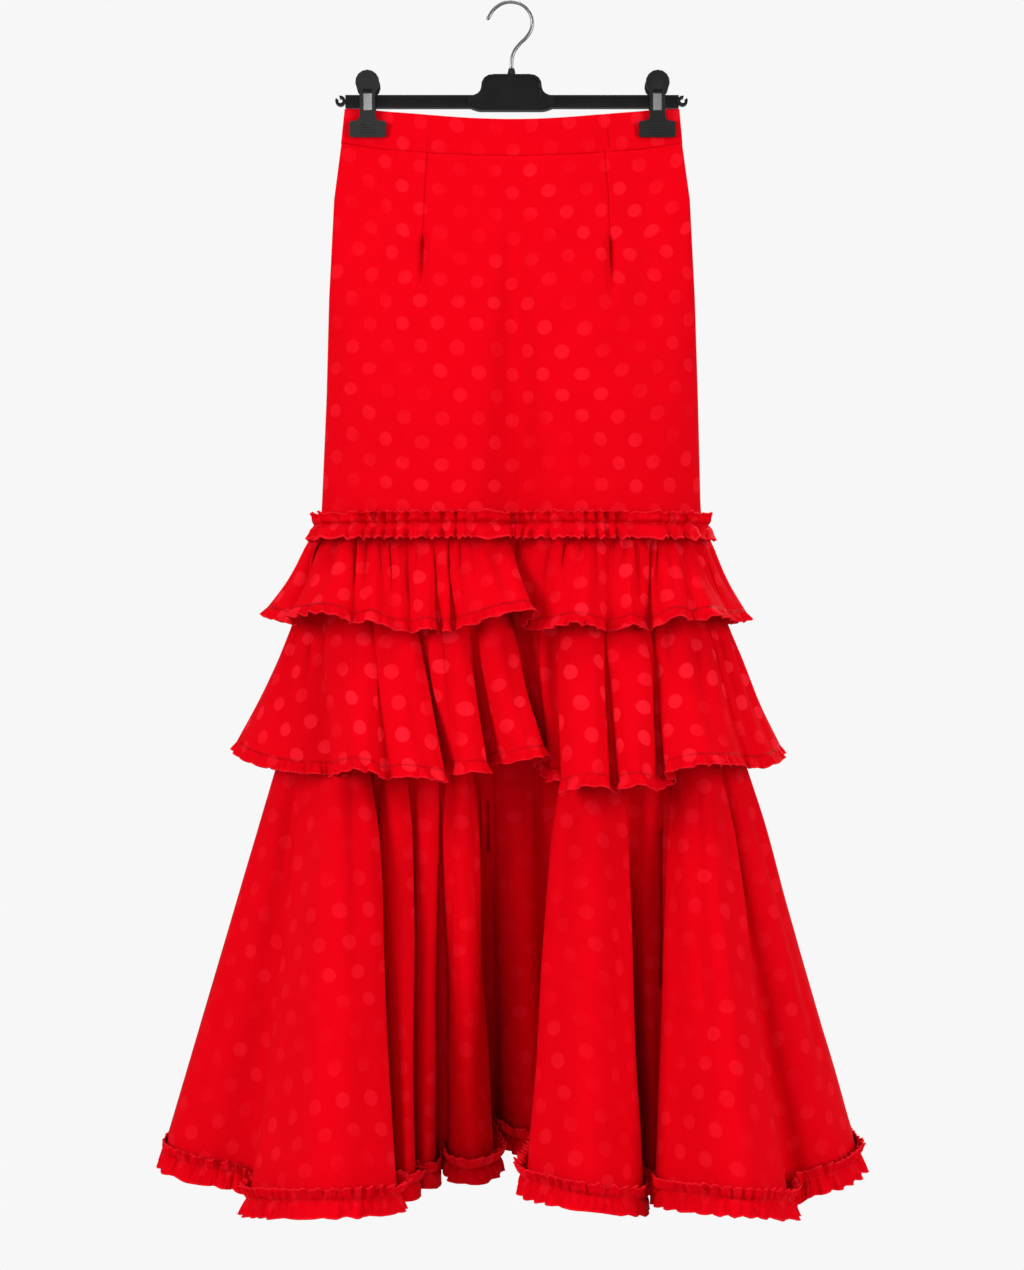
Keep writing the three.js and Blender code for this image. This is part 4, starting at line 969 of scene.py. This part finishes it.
tier_1_downs = levels_to_hem(20, 10, 0.15)
tier_2_downs = levels_to_hem(34, 10, 0.075)
tier_3_downs = np.linspace(0, 1, 78)
made = {}
for side, seed in (("front", 31), ("back", 41)):
    made["3", side] = make_flounce(TIER_3, side, None, tier_3_downs, 5.0, seed)
    made["2", side] = make_flounce(TIER_2, side, made["3", side][1], tier_2_downs, 2.4, seed + 1)
    made["1", side] = make_flounce(TIER_1, side, made["2", side][1], tier_1_downs, 2.3, seed + 2)

# ------------------------------------------------------------------ heading frill
# A narrow strip gathered along its middle and sewn over the top of tier 1, so that it stands up and down
# from the seam as two rows of small waves.

HEADING = {
    "seam": -522, "up": 11, "down": 15, "gathers": 27,
    "flare": 8, "wave": 6.8, "stand": 7.8, "fuller": 1.4,
}


def seam_line(points, facing, count):
    """Even places along a seam: their distances, points, and the level way straight out of the skirt."""
    far = along_row(points)
    spaced = np.linspace(0, far[-1], count + 1)
    line = at_places(points, far, spaced)
    run = np.gradient(line, axis=0)
    out = np.stack([-facing * run[:, 1], facing * run[:, 0], 0 * spaced], axis=-1)
    out /= np.linalg.norm(out, axis=1, keepdims=True)
    out[0], out[-1] = (-1, 0, 0), (1, 0, 0)
    return spaced, line, out


def wave_sizes(waves, sizes):
    """Sizes that pass evenly from one wave to the next."""
    which = waves.astype(int)
    return mix(sizes[which], sizes[which + 1], waves - which)


def sew_strip(name, label, side, grid, flat, spaced, to_edge, seam, out, material):
    """A gathered strip with rolled edges as cloth, and the stitches on the row of its gathering."""
    thick = np.where(to_edge < ROLLED["near"], ROLLED["thick"], CLOTH_THICK)
    edges = both_ways(spaced, to_edge) * MM
    facing = FRONT if side == "front" else BACK
    piece = cloth_piece(f"{name}_{side}", grid, flat * MM, facing, material, thick, edges)
    add_stitches(f"gathering_stitches_{label}_{side}", grid[seam] + out * (CLOTH_THICK / 2), out)
    return piece


def heading_profile():
    """Rows down the frill: share of its depth, rise above the seam, flare out from it, and size of waves."""
    rows = []
    for share in np.concatenate([[1], np.linspace(0.95, -0.95, 17), [-1]]):
        reach = abs(share)
        less = 0.8 if share > 0 else 1.0
        flare = HEADING["flare"] * less * reach**0.7
        flare += 2.2 * math.exp(-(((reach - 0.36) / 0.2) ** 2)) - 1.0 * math.exp(-((reach / 0.1) ** 2))
        rise = HEADING["up" if share > 0 else "down"] * share
        rows.append((share, rise, flare, HEADING["wave"] * mix(0.2, 1, reach) * less))
    return table("share rise flare wave", rows)


def make_heading(side, under, seed):
    facing = FRONT if side == "front" else BACK
    hip = hip_at(HEADING["seam"])
    place = -np.cos(np.linspace(0, math.pi, 200))
    stand = HEADING["stand"] - HEADING["fuller"]
    x = mix(hip["left"] - stand, hip["right"] + stand, (place + 1) / 2)
    depth = np.where(np.abs(place) >= 1, 0, hip_depth(x, HEADING["seam"], facing, stand))
    ring = np.stack([x, facing * (SEAM / 2 + depth), 0 * x + HEADING["seam"]], axis=-1)
    spaced, line, out = seam_line(ring, facing, HEADING["gathers"] * 12)
    seam_side = smooth(0, 34, np.minimum(spaced, spaced[-1] - spaced))
    line = line + out * (HEADING["fuller"] * seam_side)[:, None]
    random = np.random.default_rng(seed)
    uneven = 0.7 * np.sin(spaced / 29 + random.uniform(0, 6))
    uneven += 0.36 * np.sin(spaced / 12 + random.uniform(0, 6))
    waves = spaced / spaced[-1] * HEADING["gathers"] + uneven * seam_side + 1
    random = np.random.default_rng(seed)
    strong = wave_sizes(waves, 0.75 + 0.5 * random.random(int(waves.max()) + 2))
    turn = 2 * math.pi * waves
    swing = np.sin(turn) + 0.28 * np.sin(2.6 * turn + 1.1)
    edge = 0.34 * scallop(turn, 0.5) + 0.14 * np.cos(turn + 0.6)
    profile = heading_profile()
    rows = []
    for row in profile:
        points = line + out * (row["flare"] + row["wave"] * strong * swing)[:, None]
        points[:, 2] += row["rise"] * (1 + strong * edge + 0.08 * np.sin(2.6 * turn))
        rows.append(points)
    grid = np.array(rows)
    calm = mix(0.25, 1, seam_side)[None, :, None]
    grid[:, :, :2] = line[None, :, :2] + (grid[:, :, :2] - line[None, :, :2]) * calm
    lowest = grid[-1]
    push = np.zeros(len(lowest))
    for i in range(4, len(lowest) - 4):
        if abs(lowest[i, 0]) < 200:
            push[i] = max(0, least_depth(lowest[i], facing, under) - facing * lowest[i, 1])
    spread = np.array([push[max(0, i - 5) : i + 6].max() for i in range(len(push))])
    spread = np.convolve(spread, np.ones(7) / 7, mode="same")
    shares = np.array([row["share"] for row in profile])
    grid[:, :, 1] += facing * spread[None, :] * np.clip(-shares, 0, 1)[:, None] ** 0.8
    to_edge = np.minimum((1 - np.abs(shares)) * 12, 4)
    flat = both_ways(spaced * 1.6, shares * 14)
    seam = len(shares) // 2
    frill = sew_strip("heading_frill", "heading", side, grid, flat, spaced, to_edge, seam, out, crisp_cloth)


make_heading("front", made["1", "front"][1], 61)
make_heading("back", made["1", "back"][1], 62)

# ------------------------------------------------------------------ hem ruche
# A strip of the crepe gathered a third of the way down and sewn round the outside of tier 3's hem: a
# short frill stands above the gathering and a longer one falls over the hem.

RUCHE = {"rise": 9, "up": 11, "down": 15, "step": 1.25, "stand": 1.4, "least": 1.2, "fuller": 1.35}
FRILLS = {
    "upper": {"pitch": 10.5, "size": 7.0, "rise": 0.42, "fine": 0.4, "flare": 4.6},
    "lower": {"pitch": 20, "size": 4.6, "rise": 0.1, "fine": 0.12, "flare": 3.0},
}
TUFTS = {"pitch": 8.5, "size": 3.4}


def room_outside(line, out):
    """Distance from each point of a line, straight out, to another stretch of the same line."""
    start = line[:-1, :2]
    side = np.diff(line[:, :2], axis=0)
    count = len(line)
    room = np.full(count, 400.0)
    for i in range(count):
        a = start - line[i, :2]
        turn = out[i, 0] * side[:, 1] - out[i, 1] * side[:, 0]
        turn = np.where(np.abs(turn) < 1e-9, 1e-9, turn)
        away = (a[:, 0] * side[:, 1] - a[:, 1] * side[:, 0]) / turn
        along = (a[:, 0] * out[i, 1] - a[:, 1] * out[i, 0]) / turn
        k = np.arange(count - 1)
        hit = (away > 0) & (along >= -0.1) & (along <= 1.1) & (np.abs(k - i + 0.5) > 2)
        if hit.any():
            room[i] = away[hit].min()
    return room


def ruche_waves(kind, spaced, ends, random):
    """Waves of one of the ruche's frills along the hem: how far they swing out, and how far they rise."""
    uneven = 0.7 * np.sin(spaced / 41 + random.uniform(0, 6))
    uneven += 0.3 * np.sin(spaced / 15 + random.uniform(0, 6))
    waves = spaced / kind["pitch"] + uneven + 2
    strong = wave_sizes(waves, 0.45 + 1.1 * random.random(int(waves.max()) + 2)) * ends
    turn = 2 * math.pi * waves
    fine = kind["fine"] * np.sin(2.3 * turn + 1.3)
    return strong * (np.sin(turn) + fine), strong * (scallop(turn, 0.5) + fine * 0.6)


def make_ruche(side, grid, seed):
    facing = FRONT if side == "front" else BACK
    hem, above = grid[-1], grid[-7]
    upward = (above - hem) / np.maximum(above[:, 2:] - hem[:, 2:], 1e-6)
    far = along_row(hem)
    spaced, line, out = seam_line(hem, facing, int(far[-1] / RUCHE["step"]))
    upward = at_places(upward, far, spaced)
    room = room_outside(line, out)
    room = np.array([room[max(0, i - 7) : i + 8].min() for i in range(len(room))])
    limit = np.maximum((room - 1.2) / 2 - 0.4, 0.9)  # less than half of the room
    random = np.random.default_rng(seed)
    ends = smooth(0, 46, np.minimum(spaced, spaced[-1] - spaced))
    up, down = RUCHE["up"], RUCHE["down"]
    heights = np.concatenate([[up], np.linspace(up - 0.9, 0, 6), np.linspace(0, 1 - down, 9)[1:], [-down]])
    swings = {kind: ruche_waves(FRILLS[kind], spaced, ends, random) for kind in ("upper", "lower")}
    waves = spaced / TUFTS["pitch"] + 0.6 * np.sin(spaced / 33 + random.uniform(0, 6))
    tufts = TUFTS["size"] * ends * np.abs(np.sin(math.pi * waves)) * (0.6 + 0.5 * np.sin(spaced / 17))
    rows = []
    for height in heights:
        name = "upper" if height > 0 else "lower"
        kind, (swing, rise) = FRILLS[name], swings[name]
        share = height / up if height > 0 else -height / down
        wave = kind["size"] * share**0.8
        reach = RUCHE["stand"] + 0.4 * ends + kind["flare"] * share**0.7 * mix(0.2, 1, ends)
        reach += wave * (0.5 + 0.5 * swing) * ends
        reach = np.clip(reach + tufts * 3.2 * share**0.6 * (1 - share) ** 1.4, RUCHE["least"], limit)
        row = line + upward * (RUCHE["rise"] + height) + out * reach[:, None]
        row[:, 2] += kind["rise"] * height * rise
        rows.append(row)
    to_edge = np.minimum(np.minimum(up - heights, down + heights), 9)
    seam = int(np.argmin(np.abs(heights)))
    flat = both_ways(spaced * RUCHE["fuller"], heights)
    grid = np.array(rows)
    ruche = sew_strip("hem_ruche", "ruche", side, grid, flat, spaced, to_edge, seam, out, long_cloth)


make_ruche("front", made["3", "front"][2], 71)
make_ruche("back", made["3", "back"][2], 72)

# ------------------------------------------------------------------ hanger bar and clips
# Injection-moulded black plastic: an I-section bar with strap notches and a centre plate, and two sprung
# clips whose flat jaws have moulded grip ribs. The bar and clip halves are the CAD solids with edges eased.

plastic = make_finish(
    "black moulded plastic", (0.0022, 0.0022, 0.0026, 1), (0.0042, 0.0042, 0.0048, 1),
    tone=(45.0, 3.0), grain=(900.0, 4.0), roughness=(0.24, 0.34), relief=(0.12, 0.0002),
    rough_from="tone", Specular_IOR_Level=0.34,
)
PLASTIC_NODES = ("hanger_bar", "clip_left_front", "clip_left_back", "clip_right_front", "clip_right_back")


def dress_solid(name, material, width):
    """Gives a CAD solid its material, and rounds its edges without touching its mesh."""
    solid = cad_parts[name]
    for material_slot in solid.material_slots:
        material_slot.material = material
    solid.modifiers.new("joined", "WELD").merge_threshold = 0.00002
    bevel = solid.modifiers.new("eased edges", "BEVEL")
    bevel.width = width
    bevel.segments = 2
    bevel.limit_method = "ANGLE"
    bevel.angle_limit = math.radians(35)


for name in PLASTIC_NODES:
    dress_solid(name, plastic, 0.0007)

JAW_TOP = -118.5
JAW_HEIGHT = 16
JAW_THICK = 3.2
JAW_LEAN = 0.13
RIB = {"width": 14, "height": 1.1, "stands": 0.55, "pitch": 2.55, "count": 5}


def make_ribs(clip, facing, label):
    """The grip ribs on the outer face of one jaw, leaning with it."""
    middle = JAW_TOP - JAW_HEIGHT / 2
    inner = SEAM / 2 + PINCH + 0.8 + SEAM
    turn = np.linspace(0, math.pi, 9)
    one_rib = np.array(tube_faces(2, len(turn), capped=False))
    lean = -facing * JAW_LEAN
    points, faces = [], []
    for n in range(RIB["count"]):
        faces.append(one_rib + len(points))
        for x in (-RIB["width"] / 2, RIB["width"] / 2):
            for k in turn:
                y = facing * (JAW_THICK / 2 + RIB["stands"] * math.sin(k) - 0.1)
                height = (n - (RIB["count"] - 1) / 2) * RIB["pitch"] - 0.4 + RIB["height"] / 2 * math.cos(k)
                turned_y = y * math.cos(lean) - height * math.sin(lean)
                turned_z = y * math.sin(lean) + height * math.cos(lean)
                points.append((clip + x, turned_y + facing * (inner + JAW_THICK / 2 + 1), middle + turned_z))
    faces = np.concatenate(faces)
    if facing == BACK:
        faces = faces[:, ::-1]
    show(f"grip_ribs_{label}", points, faces.tolist(), plastic)


for side, clip in zip(("left", "right"), CLIP_X):
    make_ribs(clip, FRONT, f"{side}_front")
    make_ribs(clip, BACK, f"{side}_back")

# ------------------------------------------------------------------ hook and clip springs
# The hook is a bent steel wire that turns in the centre plate; each clip is closed by a folded strip of
# spring steel over the bar.


def make_steel(name, dark, light, stretch):
    return make_finish(
        name, (dark, dark, dark * 1.01, 1), (light, light, light * 1.02, 1),
        tone=(140.0, 4.0), grain=(2600.0, 3.0), roughness=(0.27, 0.37), relief=(0.1, 0.0001),
        stretch=stretch, Metallic=1.0,
    )


wire_steel = make_steel("zinc-plated wire", 0.17, 0.24, 0.08)
spring_steel = make_steel("spring steel", 0.34, 0.46, 0.05)
WIRE_RADIUS = 1.75
HOOK = table(
    "x z",
    [
        (0, -69.6), (0, -62), (0.6, -54), (3.2, -47), (8.5, -40), (15, -33.5), (19.6, -26), (20.8, -18.5),
        (18.5, -9.5), (11.5, -1.6), (0.5, 1.75), (-9.5, 0.1), (-18.2, -6.4), (-23.5, -14.8),
    ],
)


def tube_rings(line, radius, sides, level):
    """Rings of points round a line of points, starting square to the direction given as level."""
    run = np.gradient(line, axis=0)
    run /= np.linalg.norm(run, axis=1, keepdims=True)
    beside = np.cross(run, level)
    beside /= np.linalg.norm(beside, axis=1, keepdims=True)
    up = np.cross(run, beside)
    turn = np.linspace(0, 2 * math.pi, sides, endpoint=False)
    ring = beside[:, None] * np.cos(turn)[None, :, None] + up[:, None] * np.sin(turn)[None, :, None]
    return line[:, None] + ring * radius


def make_hook():
    """The bent wire, with a rounded tip."""
    route = np.array([(place["x"], 0.0, place["z"]) for place in HOOK])
    knots = np.concatenate([[0], np.cumsum(np.linalg.norm(np.diff(route, axis=0), axis=1) ** 0.5)])
    parts = 12
    segment = np.append(np.repeat(np.arange(len(route) - 1), parts), len(route) - 2)
    line = through(route, knots, segment, np.append(np.tile(np.arange(parts) / parts, len(route) - 1), 1.0))
    sides = 20
    rings = tube_rings(line, WIRE_RADIUS, sides, (0.0, 1.0, 0.0))
    ahead = line[-1] - line[-2]
    ahead *= WIRE_RADIUS / np.linalg.norm(ahead)
    tip = [line[-1] + ahead * r + (rings[-1] - line[-1]) * math.sqrt(1 - r * r) for r in (0.5, 0.85)]
    rings = np.concatenate([rings, tip])
    hook = show("hook_wire_round", rings.reshape(-1, 3), tube_faces(len(rings), sides), wire_steel)
    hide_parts("hook_wire")


make_hook()
for side in ("left", "right"):
    dress_solid(f"clip_{side}_spring", spring_steel, 0.00015)

# ------------------------------------------------------------------ centre-back zip
# A concealed zip, 20 cm long, sewn behind the centre-back seam: two nylon coils lie hidden inside the seam,
# and only the red lacquered pull of its slider hangs outside, at the top of the waistband.

ZIP = {"top": -123, "bottom": -323, "inside": 2.1, "apart": 0.85}
COIL = {"radius": 0.55, "wire": 0.2, "pitch": 1.4}
PULL = {"top": -122.5, "long": 21, "half": 3.1, "thick": 1.1, "stands": 1.7}
SHINY = {
    "tone": (260.0, 3.0), "grain": (260.0, 3.0), "roughness": (0.22, 0.36), "relief": (0.1, 0.0001),
    "Specular_IOR_Level": 0.4,
}

lacquer = make_finish("red lacquered metal", (0.34, 0.001, 0.003, 1), (0.46, 0.003, 0.008, 1), **SHINY)
nylon = make_finish("red nylon coil", (0.28, 0.001, 0.003, 1), (0.40, 0.002, 0.006, 1), **SHINY)


def make_coil(side, label):
    """One side's row of coils: a thin wire wound round the line where it is sewn on."""
    steps = 8
    z = np.arange(ZIP["top"], ZIP["bottom"], -COIL["pitch"] / steps)
    turn = 2 * math.pi * np.arange(len(z)) / steps
    depth = hip_depth(0 * z + CENTRE_X, z, BACK) - ZIP["inside"]
    x = CENTRE_X + side * ZIP["apart"] + COIL["radius"] * np.cos(turn)
    line = np.stack([x, SEAM / 2 + depth + COIL["radius"] * np.sin(turn), z], axis=-1)
    rings = tube_rings(line, COIL["wire"], 4, (0.0, 0.31, 0.95))
    coil = show(f"zip_coil_{label}", rings.reshape(-1, 3), tube_faces(len(rings), 4), nylon)


def make_pull():
    """A flat teardrop plate with rounded edges, hanging on the slider."""
    count = 28
    turn = np.linspace(0, 2 * math.pi, count, endpoint=False)
    drop = (1 - np.cos(turn)) / 2
    half = PULL["half"] * np.sin(turn) * (0.42 + 0.58 * drop)
    z = PULL["top"] - PULL["long"] * drop
    lean = hip_depth(np.array([CENTRE_X] * 2), np.array([PULL["top"], PULL["top"] - PULL["long"]]), BACK)
    face = SEAM / 2 + mix(lean[0], lean[1], drop) + PULL["stands"]
    middle = PULL["top"] - PULL["long"] * 0.55
    rings = []
    for out, width, height in ((-0.5, 0.86, 0.97), (-0.25, 1, 1), (0.25, 1, 1), (0.5, 0.86, 0.97)):
        y = face + out * PULL["thick"]
        rings.append(np.stack([CENTRE_X + half * width, y, middle + (z - middle) * height], axis=-1))
    pull = show("zip_pull", np.concatenate(rings), tube_faces(len(rings), count), lacquer)


make_coil(-1, "left")
make_coil(1, "right")
make_pull()

# ------------------------------------------------------------------ studio
# A plain pale floor well below the hem, soft light from the front and above, and the camera square to the
# front at the height of the hips.

FLOOR = {"z": -1.95, "reach": 2.0}

paint = make_finish(
    "pale painted floor", (0.52, 0.52, 0.52, 1), (0.56, 0.56, 0.56, 1),
    tone=(3.0, 6.0), grain=(3.0, 6.0), roughness=(0.8, 0.8), relief=(0.0, 0.0001),
)
floor_mesh = bpy.data.meshes.new("studio_floor")
ends = (-FLOOR["reach"], FLOOR["reach"])
corners = [(x, y, FLOOR["z"]) for y in ends for x in ends]
floor_mesh.from_pydata(corners, [], [(0, 1, 3, 2)])
floor_mesh.materials.append(paint)
floor = bpy.data.objects.new("studio_floor", floor_mesh)
bpy.context.scene.collection.objects.link(floor)


def add_light(name, place, target, size, power):
    data = bpy.data.lights.new(name, "AREA")
    data.shape = "RECTANGLE"
    data.size, data.size_y = size
    data.energy = power
    light = bpy.data.objects.new(name, data)
    light.location = place
    light.rotation_euler = (Vector(target) - Vector(place)).to_track_quat("-Z", "Y").to_euler()
    bpy.context.scene.collection.objects.link(light)


add_light("left softbox", (-2.3, -1.7, 0.1), (0, 0, -0.75), (1.1, 1.7), 80)
add_light("right softbox", (2.3, -1.7, -0.1), (0, 0, -0.75), (1.1, 1.7), 70)
add_light("top softbox", (0.0, -0.7, 1.6), (0, 0, -0.6), (2.0, 1.2), 24)
add_light("front fill", (-0.4, -2.9, -1.0), (0, 0, -0.95), (1.2, 1.2), 15)
add_light("back fill", (0.7, 2.6, 1.5), (0, 0, -0.6), (1.8, 1.0), 95)

world = bpy.data.worlds.new("pale studio")
world.use_nodes = True
bpy.context.scene.world = world
tree = world.node_tree
tree.nodes.clear()
PALE = (0.93, 0.93, 0.93, 1)
seen = add_node(tree, "Background", Color=PALE, Strength=1.0).outputs[0]
cast = add_node(tree, "Background", Color=PALE, Strength=0.3).outputs[0]
path = add_node(tree, "LightPath").outputs["Is Camera Ray"]
both = add_node(tree, "MixShader", s0=path, s1=cast, s2=seen)
add_node(tree, "OutputWorld", Surface=both.outputs[0])

camera_data = bpy.data.cameras.new("camera")
camera_data.sensor_width = 36
camera_data.lens = 68.03
camera_data.clip_end = 100
camera = bpy.data.objects.new("camera", camera_data)
camera.location = (0.0005, -2.4, -0.6313)
camera.rotation_euler = (math.radians(90), 0, 0)
bpy.context.scene.collection.objects.link(camera)
bpy.context.scene.camera = camera
bpy.context.scene.view_settings.view_transform = "Standard"
